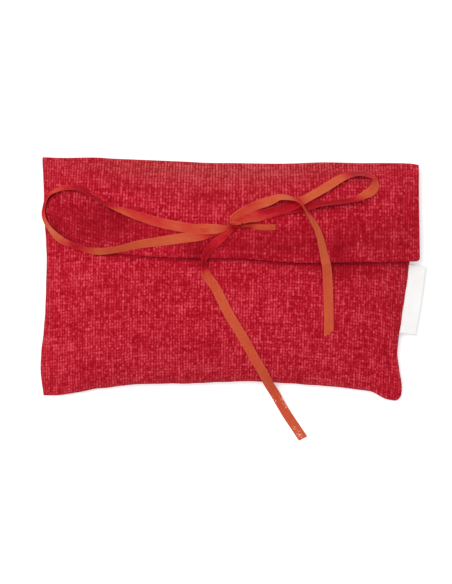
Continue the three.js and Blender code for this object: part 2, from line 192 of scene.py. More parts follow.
def clothUv(points, width, length):  # thread places over a grid of points, from the cloth's own lengths
    across = np.linalg.norm(np.diff(points, axis=1), axis=2)
    along = np.linalg.norm(np.diff(points, axis=0), axis=2)
    u = np.concatenate([np.zeros((len(points), 1)), np.cumsum(across, 1)], 1)
    v = np.concatenate([np.zeros((1, points.shape[1])), np.cumsum(along, 0)], 0)
    u = u / u[:, -1:] * width
    v = v / v[-1:, :] * length
    return np.stack([u, v], 2)


# As clothUv, with the warp straight on the table as in the photograph, apart from the columns at each side
# that are turned under
def straightThreads(points, width, length, turned=0):
    margin = 6  # how far the straight threads go on past the sides
    even = clothUv(points, width, length)
    mean, x = even[..., 0].mean(axis=0), points[..., 0].mean(axis=0)
    seen = slice(turned, points.shape[1] - turned)
    places, threads = (np.concatenate([row[seen][:1] - margin, row[seen], row[seen][-1:] + margin])
                       for row in (x, mean))
    u = np.broadcast_to(mean, points.shape[:2]).copy()
    u[:, seen] = np.interp(points[:, seen, 0], places, threads)
    v = np.broadcast_to(even[..., 1].mean(axis=1)[:, None], u.shape)
    return np.stack([u, v], 2)


# Material nodes. Each material is built from its own thread places, held in the uv map in millimetres
def newMaterial(name, settings):
    material = bpy.data.materials.new(name)
    material.use_nodes = True
    tree = material.node_tree
    tree.nodes.clear()
    out = tree.nodes.new("ShaderNodeOutputMaterial")
    shader = tree.nodes.new("ShaderNodeBsdfPrincipled")
    tree.links.new(shader.outputs[0], out.inputs[0])
    for socket, value in settings.items():
        shader.inputs[socket].default_value = value
    return material, tree, shader


def feed(socket, value):  # a socket takes a number, a colour or what another node gives
    if isinstance(value, bpy.types.NodeSocket):
        socket.id_data.links.new(value, socket)
    else:
        socket.default_value = (*value, 1) if isinstance(value, tuple) else value


def mathNode(kind, *inputs):
    tree = next(value.id_data for value in inputs if isinstance(value, bpy.types.NodeSocket))
    node = tree.nodes.new("ShaderNodeMath")
    node.operation = kind
    for socket, value in zip(node.inputs, inputs):
        feed(socket, value)
    return node.outputs[0]


def plus(a, b):
    return mathNode("ADD", a, b)


def times(a, b):
    return mathNode("MULTIPLY", a, b)


def scaled(value, factor, more):  # value times factor, plus more
    return mathNode("MULTIPLY_ADD", value, factor, more)


def swing(noise, gain):  # a noise value turned into a swing about zero
    return times(mathNode("SUBTRACT", noise, 0.5), gain)


def ribs(place, pitch):
    return mathNode("SINE", times(place, 2 * math.pi / pitch))


def rangeNode(value, low, high, newLow=0, newHigh=1, smooth=True):
    node = value.id_data.nodes.new("ShaderNodeMapRange")
    node.interpolation_type = "SMOOTHSTEP" if smooth else "LINEAR"
    sockets = ("Value", "From Min", "From Max", "To Min", "To Max")
    for socket, number in zip(sockets, (value, low, high, newLow, newHigh)):
        feed(node.inputs[socket], number)
    return node.outputs[0]


def placeNode(x, y, z=0):
    node = x.id_data.nodes.new("ShaderNodeCombineXYZ")
    for socket, value in zip(node.inputs, (x, y, z)):
        feed(socket, value)
    return node.outputs[0]


def noiseNode(place, settings):  # the settings are scale, detail and roughness
    node = place.id_data.nodes.new("ShaderNodeTexNoise")
    for socket, value in zip(("Vector", "Scale", "Detail", "Roughness"), (place, *settings)):
        feed(node.inputs[socket], value)
    return node.outputs["Fac"]


def mixNode(share, low, high):
    node = share.id_data.nodes.new("ShaderNodeMix")
    node.data_type = "RGBA"
    for k, value in ((0, share), (6, low), (7, high)):
        feed(node.inputs[k], value)
    return node.outputs[2]


def attributeNode(tree, name):
    node = tree.nodes.new("ShaderNodeAttribute")
    node.attribute_name = name
    return node.outputs["Fac"]


def uvNode(tree):
    source = tree.nodes.new("ShaderNodeUVMap")
    source.uv_map = "thread"
    split = tree.nodes.new("ShaderNodeSeparateXYZ")
    tree.links.new(source.outputs[0], split.inputs[0])
    return split.outputs[0], split.outputs[1]


def finishShader(shader, colour, height, distance, strength):
    bump = shader.id_data.nodes.new("ShaderNodeBump")
    bump.inputs["Distance"].default_value = distance * mm
    bump.inputs["Strength"].default_value = strength
    feed(bump.inputs["Height"], height)
    feed(shader.inputs["Normal"], bump.outputs[0])
    feed(shader.inputs["Base Color"], colour)


# Red cotton of thick and thin yarn. A slub has its pace along the thread, its gain and its slice of the
# noise; a noise has scale, detail and roughness; a range has low and high, and what these become where that
# isn't 0 and 1
clothLook = {
    "warpPitch": 0.88, "weftPitch": 1.17, "wander": 0.42, "crown": 0.7, "threadStep": 4.37, "weftSlice": 7,
    "warpRise": (0.15, 0.85), "weftRise": (-0.15, 0.5),  # swing of a thread's height, and its middle
    "warpSlubs": [(0.1, 1.4, 3.1), (1.4, 1.7, 50.3)], "weftSlubs": [(0.1, 1.25, 91.7), (1.25, 2.3, 31.3)],
    "clouds": 0.25, "fibres": 1.25, "darkCalm": 0.7, "darkShift": 0.35, "darkDepth": 0.45,
    "noise": {"wander": (0.3, 2, 0.5), "slubs": (1, 2, 0.65), "clouds": (0.12, 2, 0.5),
              "fibres": (1.35, 2, 0.6), "fuzz": (6, 3, 0.7)},
    "ranges": {"warpShade": (0.1, 0.8, 0.35, 1), "weftShade": (0, 0.8, 0.3, 0.9),
               "warpGap": (0.1, 0.8, -0.36, 0.09), "weftGap": (0, 0.6, -0.2, 0),
               "deepToRed": (0, 0.5), "redToPink": (0.5, 1.1), "wearAndSheenSteps": (0.15, 0.5),
               "paleCrownRound": (0.3, 0.95, 0.5, 1), "paleCrownTone": (0.15, 0.85, 0.35, 1.4),
               "wearAndSheenGap": (0.2, 0.85, 0.6, 0), "warpShown": (0, 0.45, 0.7, 1),
               "weftShown": (0, 0.4, 0.85, 1)},
    "deep": (0.33, 0.0021, 0.0085), "red": (0.495, 0.0105, 0.027), "pink": (0.71, 0.072, 0.10),
    "fadedAndSheen": (0.46, 0.045, 0.055), "wearAndPaintedLight": (0.55, 0.11, 0.098), "black": (0.0, 0.0, 0.0),
    "relief": (0.14, 0.6), "fuzzRelief": 0.35, "toneRelief": 0.2,  # the first is depth and strength
    "shader": {"Roughness": 0.92, "Specular IOR Level": 0.06, "Sheen Weight": 0.06, "Sheen Roughness": 0.5,
               "Sheen Tint": (1.0, 0.35, 0.4, 1)},
}


def slubbyCotton(name, look):
    material, tree, shader = newMaterial(name, look["shader"])
    noise, ranges = look["noise"], look["ranges"]
    u, v = uvNode(tree)
    here, there = placeNode(u, v), placeNode(v, u, look["weftSlice"])

    def slubs(along, thread, kinds):  # a thread's own shade, which changes along it as such yarn does
        return plus(*(swing(noiseNode(placeNode(times(along, pace), times(thread, look["threadStep"]), level),
                                      noise["slubs"]), gain) for pace, gain, level in kinds))

    def threads(along, pitch, place):  # of uneven width, and they wander a little from their straight lines
        wander = swing(noiseNode(place, noise["wander"]), look["wander"])
        return plus(mathNode("DIVIDE", along, pitch), wander)

    a, b = threads(u, look["warpPitch"], here), threads(v, look["weftPitch"], there)
    i, j = mathNode("FLOOR", a), mathNode("FLOOR", b)
    # round threads that pass over and under each other, the warp more in sight than the weft
    roundA, roundB = (mathNode("ABSOLUTE", mathNode("SINE", times(thread, math.pi))) for thread in (a, b))
    over = mathNode("SINE", times(plus(b, i), math.pi))
    warp = times(mathNode("POWER", roundA, look["crown"]), scaled(over, *look["warpRise"]))
    weft = times(mathNode("POWER", roundB, look["crown"]), scaled(over, *look["weftRise"]))
    tone = plus(times(slubs(v, i, look["warpSlubs"]), rangeNode(roundA, *ranges["warpShade"])),
                times(slubs(u, j, look["weftSlubs"]), rangeNode(roundB, *ranges["weftShade"])))
    # painted shade: darker in the gaps between the threads
    tone = plus(plus(tone, rangeNode(roundA, *ranges["warpGap"])), rangeNode(roundB, *ranges["weftGap"]))
    for kind in ("clouds", "fibres"):  # soft clouds of fuzz, and single fibres
        tone = plus(tone, swing(noiseNode(here, noise[kind]), look[kind]))
    # the piece's own "tone": below 0 it is painted shade, darker and calmer; above 0 paler, from wear and
    # painted sheen
    wear = attributeNode(tree, "tone")
    paintedShade, wearAndPaintedLight = mathNode("MINIMUM", wear, 0), mathNode("MAXIMUM", wear, 0)
    tone = plus(times(tone, scaled(paintedShade, look["darkCalm"], 1)), scaled(paintedShade, look["darkShift"], 0.5))
    colour = mixNode(rangeNode(tone, *ranges["deepToRed"], smooth=False), look["deep"], look["red"])
    colour = mixNode(rangeNode(tone, *ranges["redToPink"], smooth=False), colour, look["pink"])
    # paler thread crowns where the tone is above 0: wear, with painted sheen and light
    pale = mixNode(rangeNode(wearAndPaintedLight, *ranges["wearAndSheenSteps"]), look["fadedAndSheen"], look["wearAndPaintedLight"])
    paleCrowns = times(rangeNode(roundA, *ranges["paleCrownRound"]), rangeNode(tone, *ranges["paleCrownTone"]))
    colour = mixNode(times(wearAndPaintedLight, paleCrowns), colour, pale)
    # painted shade in the gaps between the threads, deeper still in the gaps of the paler places
    shown = times(rangeNode(roundA, *ranges["warpShown"]), rangeNode(roundB, *ranges["weftShown"]))
    colour = mixNode(shown, look["deep"], colour)
    colour = mixNode(times(wearAndPaintedLight, rangeNode(roundA, *ranges["wearAndSheenGap"])), colour, look["deep"])
    # painted shade: darker still where the tone is below 0
    colour = mixNode(times(paintedShade, -look["darkDepth"]), colour, look["black"])
    height = scaled(noiseNode(here, noise["fuzz"]), look["fuzzRelief"], mathNode("MAXIMUM", warp, weft))
    finishShader(shader, colour, scaled(tone, look["toneRelief"], height), *look["relief"])
    return material


# Orange double-faced satin, coloured by the piece's own "tone": painted sheen and shade, amber and orange
# where it faces the lamp, red and deep red where it turns away or lies in shade
ribbonLook = {
    "amber": (0.59, 0.120, 0.042), "orange": (0.57, 0.076, 0.031), "red": (0.53, 0.007, 0.017),
    "deep": (0.36, 0.0015, 0.009), "light": (0.70, 0.14, 0.08), "pinkLight": (0.58, 0.035, 0.045),
    "spark": (0.95, 0.72, 0.62),
    "streakAlong": 0.12, "streakAcross": 2.2, "streaks": 0.9, "clouds": 0.8,
    "noise": {"streaks": (1, 3, 0.6), "clouds": (0.35, 3, 0.6), "spark": (1.9, 1, 0.5)},
    "ranges": {"amberToOrange": (-0.4, 0.15), "orangeToRed": (0.15, 0.95), "redToDeep": (0.95, 1.25),
               "lightToPink": (0.3, 1), "floats": (-1, 1, 0, 0.08), "edge": (1.2, 1.4, 0, 0.28),
               "spark": (0.53, 0.64)},
    "ribPitch": 0.19, "floatPitch": 0.11, "ribRelief": 0.6, "floatRelief": 0.4, "streakRelief": 1.2,
    "relief": (0.02, 0.5),
    "shader": {"Roughness": 0.42, "Anisotropic": 0.45, "Specular IOR Level": 0.07, "Subsurface Weight": 0.35,
               "Subsurface Radius": (1.0, 0.35, 0.15), "Subsurface Scale": 0.4 * mm, "Sheen Weight": 0.015,
               "Sheen Tint": (1.0, 0.6, 0.4, 1)},
}


def satinRibbon(name, look):
    material, tree, shader = newMaterial(name, look["shader"])
    noise, ranges = look["noise"], look["ranges"]
    u, v = uvNode(tree)  # u along the ribbon, v across it
    here = placeNode(u, v)
    stretched = placeNode(times(u, look["streakAlong"]), times(v, look["streakAcross"]))
    streaks = noiseNode(stretched, noise["streaks"])
    shade = plus(attributeNode(tree, "tone"), swing(streaks, look["streaks"]))
    shade = plus(shade, swing(noiseNode(here, noise["clouds"]), look["clouds"]))
    colour = mixNode(rangeNode(shade, *ranges["amberToOrange"], smooth=False), look["amber"], look["orange"])
    colour = mixNode(rangeNode(shade, *ranges["orangeToRed"], smooth=False), colour, look["red"])
    colour = mixNode(rangeNode(shade, *ranges["redToDeep"], smooth=False), colour, look["deep"])
    # fine crosswise ribs and lengthwise floats with painted sheen, and woven edges, a little denser and
    # lighter with a painted highlight
    floats = times(ribs(v, look["floatPitch"]), look["floatRelief"])
    texture = scaled(ribs(u, look["ribPitch"]), look["ribRelief"], floats)
    light = mixNode(rangeNode(shade, *ranges["lightToPink"]), look["light"], look["pinkLight"])
    colour = mixNode(rangeNode(texture, *ranges["floats"], smooth=False), colour, light)
    colour = mixNode(rangeNode(mathNode("ABSOLUTE", v), *ranges["edge"]), colour, light)
    # painted glints, where a few floats of the long tail catch the light
    spark = rangeNode(noiseNode(here, noise["spark"]), *ranges["spark"])
    colour = mixNode(times(attributeNode(tree, "glint"), spark), colour, look["spark"])
    finishShader(shader, colour, scaled(streaks, look["streakRelief"], texture), *look["relief"])
    return material


# White tape, a little worn
tapeLook = {
    "white": (0.985, 0.98, 0.965), "shade": (0.92, 0.91, 0.89), "ribPitch": 0.22, "crossPitch": 0.154,
    "cross": 0.5, "weaveRange": (-1.5, 1.5), "weaveShare": 0.5, "wearNoise": (0.25, 4, 0.6),
    "wearRange": (0.3, 0.7, 0, 0.5), "relief": (0.03, 0.4),
    "shader": {"Roughness": 0.45, "Sheen Weight": 0.1},
}


def whiteTape(name, look):
    material, tree, shader = newMaterial(name, look["shader"])
    u, v = uvNode(tree)
    rib, cross = ribs(u, look["ribPitch"]), ribs(v, look["crossPitch"])
    weave = scaled(cross, look["cross"], rib)
    wear = rangeNode(noiseNode(placeNode(u, v), look["wearNoise"]), *look["wearRange"])
    share = scaled(rangeNode(weave, *look["weaveRange"]), look["weaveShare"], wear)
    finishShader(shader, mixNode(share, look["shade"], look["white"]), weave, *look["relief"])
    return material


redCotton = slubbyCotton("red slubby cotton", clothLook)
liningLook = dict(clothLook, warpPitch=0.4, weftPitch=0.4, relief=(0.07, 0.6), fibres=0.6,
                  warpSlubs=[(0.1, 0.5, 3.1), (1.4, 0.6, 50.3)],
                  weftSlubs=[(0.1, 1.25, 91.7), (1.25, 0.6, 31.3)])
liningCotton = slubbyCotton("lining cotton", liningLook)
orangeSatin = satinRibbon("orange satin", ribbonLook)
tapeSatin = whiteTape("white tape satin", tapeLook)
print("materials made")

# The pouch's outline and puff, nearly the same as in the part's source. The curves for the sides run from
# the foot to the crease, and those for the bottom and the crease from left to right
pouch = {
    "width": 120, "height": 76, "puff": 15.5, "cloth": 0.6, "gap": 0.3, "seamLift": 2.6, "cornerLift": 0.8,
    "creaseLift": 3, "mouthDepth": 10, "hemDepth": 7, "crown": 2.6, "end": 2.4, "sideSlope": 0.75,
    "backRise": 0.1, "creaseStraight": 0.8, "edgeRound": 1.3, "corner": 2.4,
    "leftIn": [(0, 0.01), (0.09, 0.002), (0.18, 0.003), (0.32, 0.012), (0.6, 0.013), (0.72, 0.008),
               (0.88, 0.002), (1, 0)],
    "rightIn": [(0, 0.046), (0.06, 0.042), (0.13, 0.049), (0.21, 0.055), (0.39, 0.043), (0.58, 0.028),
                (0.75, 0.02), (1, 0.007)],
    "bottomRise": [(0, 0), (0.035, 0.002), (0.07, 0.011), (0.14, 0.0325), (0.2, 0.0425), (0.27, 0.0555),
                   (0.33, 0.0612), (0.41, 0.0632), (0.49, 0.0705), (0.56, 0.075), (0.7, 0.071), (0.81, 0.057),
                   (0.87, 0.0505), (0.92, 0.0405), (0.96, 0.012), (1, 0)],
    "creaseDip": [(0, 0), (0.06, 0.1), (0.14, -0.2), (0.19, 0.08), (0.25, 0.25), (0.38, 0.66), (0.44, 0.93),
                  (0.51, 0.85), (0.64, 0.78), (0.75, 0.12), (0.84, 0.2), (0.91, 0.05), (0.975, 0.05),
                  (1, 0.45)],
    "undulation": 0.4, "calmEdge": 14, "pucker": 0.5, "puckerSide": 4.5, "puckerFoot": 5, "puckerEdge": 2.5,
    "footPucker": 0.7, "backPucker": 0.35, "backPuckerSide": 6, "sideWaver": 0.22, "footWaver": 0.25,
    "lip": 3.8, "lipRise": 0.3, "lipBlend": 0.04, "proudLeft": 0.42, "proudRight": 0.36, "proudFoot": 0.48,
    "hemRadius": 0.33, "hemInset": 0.02, "hemRows": 12, "bendRings": 9, "foldReach": (1.5, 5),
    "foldCorner": 12, "tuck": [(0, 0.2, 0.1), (0, 0.4, 0.22)], "tableGap": 0.02, "sideFade": 6,
    "footFade": 8, "columns": 300, "rows": 190, "crowdColumns": 0.6, "crowdRows": 0.5,
    "threads": (124, 174),
}
flap = {
    "depth": 33, "lining": 0.4, "clearance": 0.4, "bandGap": 0.85, "spread": 0.25, "hingeHeight": 3.75,
    "leftIn": [(0, 0), (0.45, 0.004), (0.75, 0.008), (1, 0.012)],
    "rightIn": [(0, 0.006), (0.5, 0.003), (1, 0.001)],
    "depthShare": [(0, 0.7), (0.027, 0.74), (0.05, 0.785), (0.073, 0.825), (0.1, 0.86), (0.145, 0.905),
                   (0.18, 0.928), (0.29, 0.96), (0.4, 0.97), (0.52, 0.965), (0.65, 0.995), (0.75, 0.99),
                   (0.98, 0.96), (1, 0.955)],
    "drape": 1.0, "drapeMiddle": 1.2, "drapeReach": 8, "foldRadius": 0.55, "turnUnder": 3,
    "creaseRadius": 0.75, "creaseIn": 0.35, "faceRise": 3.5, "corner": 1.2,
    "ridge": 0.22, "ridgeWidth": 2.2, "ridgeFade": 1.2, "foldShare": 0.12, "foldFade": 8, "levelFrom": 1.5,
    "proudLeft": 0.52, "proudRightTop": 0.0, "proudRightHem": 0.35,
    "reach": 1.01, "end": 1.02, "endBlend": 0.06,
    "columns": 240, "rows": 110, "crowd": 0.3, "edgeColumns": 24, "edgeStrip": 2, "foldRings": 15,
    "threads": (126, 39),
}
halfWidth, halfHeight = pouch["width"] / 2, pouch["height"] / 2
mouthShare = 1 - pouch["mouthDepth"] / pouch["height"]
seamStack = 2 * pouch["cloth"] + pouch["gap"]
leftIn, rightIn = curveThrough(pouch["leftIn"]), curveThrough(pouch["rightIn"])
bottomRise, creaseDip = curveThrough(pouch["bottomRise"]), curveThrough(pouch["creaseDip"])
flapLeftIn, flapRightIn = curveThrough(flap["leftIn"]), curveThrough(flap["rightIn"])
depthShare = curveThrough(flap["depthShare"])
broadWaves, puckerLine, edgeWave = waves(11, 9, 60, 14), waves(23, 6, 17, 5), waves(31, 7, 26, 6)


def undulation(x, y):  # gentle swells of the filled cloth, none at the edges
    inside = ease((halfWidth - np.abs(x)) / pouch["calmEdge"]) * ease((y + halfHeight) / pouch["calmEdge"])
    return pouch["undulation"] * broadWaves(x, y) * inside


def fromSide(u):  # distance from the nearer side seam
    return np.minimum(u, 1 - u) * pouch["width"]


# A point of the body is u from left to right and v from foot to crease, both 0 to 1
def bodyX(u, v):
    return lerp(-halfWidth + pouch["width"] * leftIn(v), halfWidth - pouch["width"] * rightIn(v), u)


def bodyY(u, v):
    return lerp(-halfHeight + pouch["height"] * bottomRise(u), halfHeight, v)


def bodyV(u, y):
    foot = bodyY(u, 0)
    return (y - foot) / (halfHeight - foot)


def seamHeight(u, v):
    alongEdge = np.minimum(1, np.hypot(np.sin(np.pi * u), np.sin(np.pi * v)))
    nearCrease = ease((v - pouch["creaseStraight"]) / (1 - pouch["creaseStraight"]))
    return lerp(lerp(pouch["cornerLift"], pouch["seamLift"], alongEdge), pouch["creaseLift"], nearCrease)


def backHeight(u, v):  # flat on the table, and up to the seams at the edges
    def inFrom(share):
        return 1 - (1 - np.clip(share / pouch["backRise"], 0, 1)) ** 2

    return seamHeight(u, v) * (1 - inFrom(u) * inFrom(1 - u) * inFrom(v) * inFrom(1 - v))


def frontHeight(u, v):
    across = np.maximum(0, 1 - np.abs(2 * u - 1) ** pouch["crown"]) ** pouch["sideSlope"]
    slope = np.where(v < 0.5, pouch["sideSlope"], 1)
    along = np.maximum(0, 1 - np.abs(2 * v - 1) ** pouch["end"]) ** slope
    fullness = pouch["puff"] - pouch["seamLift"] - seamStack
    return seamHeight(u, v) + seamStack + fullness * across * along


# A point of the flap is u from left to right and t from crease to hem, both 0 to 1
def flapSides(t):
    return -halfWidth + pouch["width"] * flapLeftIn(t), halfWidth - pouch["width"] * flapRightIn(t)


def flapPoint(u, t):  # the flap's outer face
    x = lerp(*flapSides(t), u)
    y = halfHeight - flap["depth"] * depthShare(u) * t
    v = bodyV(u, y)
    layerGap = lerp(pouch["gap"], flap["bandGap"], ease(np.minimum(u, 1 - u) / flap["spread"]))
    stack = flap["clearance"] + flap["lining"] + layerGap + pouch["cloth"]
    creaseTop = flap["hingeHeight"] + pouch["gap"] / 2 + pouch["cloth"]
    away = np.sin(np.pi / 2 * np.clip((1 - v) / (1 - mouthShare), 0, 1))
    return x, y, lerp(creaseTop, frontHeight(u, v) + stack, away)


def flapDrop(u, t):  # how far the draped hem and sides lie below the padded middle
    reach, depth = flap["drapeReach"], flap["depth"]
    drape = lerp(flap["drape"], flap["drapeMiddle"], ease(np.minimum(u, 1 - u) / flap["spread"]))
    return drape * (1 - ease(fromSide(u) / reach) * ease((1 - t) * depth / reach)) * ease(t * depth / reach)


def flapPlaces(x, y):  # u and t of a point over the flap
    u = np.full_like(x, 0.5)
    for _ in range(12):  # a few rounds settle it
        t = (halfHeight - y) / (flap["depth"] * depthShare(u))
        left, right = flapSides(t)
        u = np.clip((x - left) / (right - left), 0, 1)
    return u, t


def flapSurface(x, y):  # height of the cloth's face over a point of the table
    x, y = np.atleast_1d(np.asarray(x, float)), np.atleast_1d(np.asarray(y, float))
    u, t = flapPlaces(x, y)
    return flapPoint(u, t)[2] - flapDrop(u, t) + undulation(x, y)


def clothHeight(x, y):  # the highest cloth over a point: the flap's face, the pouch's front or the table
    u = (x + halfWidth) / pouch["width"]
    v = bodyV(u, y)
    for _ in range(8):  # a few rounds settle it
        left, right = bodyX(0, v), bodyX(1, v)
        u = (x - left) / (right - left)
        v = bodyV(np.clip(u, 0, 1), y)
    onBody = (u > 0) & (u < 1) & (v > 0) & (v < 1)
    body = np.where(onBody, frontHeight(np.clip(u, 0, 1), np.clip(v, 0, 1)) + undulation(x, y), 0)
    t = flapPlaces(x, y)[1]
    left, right = flapSides(t)
    onFlap = (x > left - flap["proudLeft"]) & (x < right + flap["proudRightHem"]) & (t < flap["reach"])
    return np.where(onFlap, flapSurface(x, y), body)


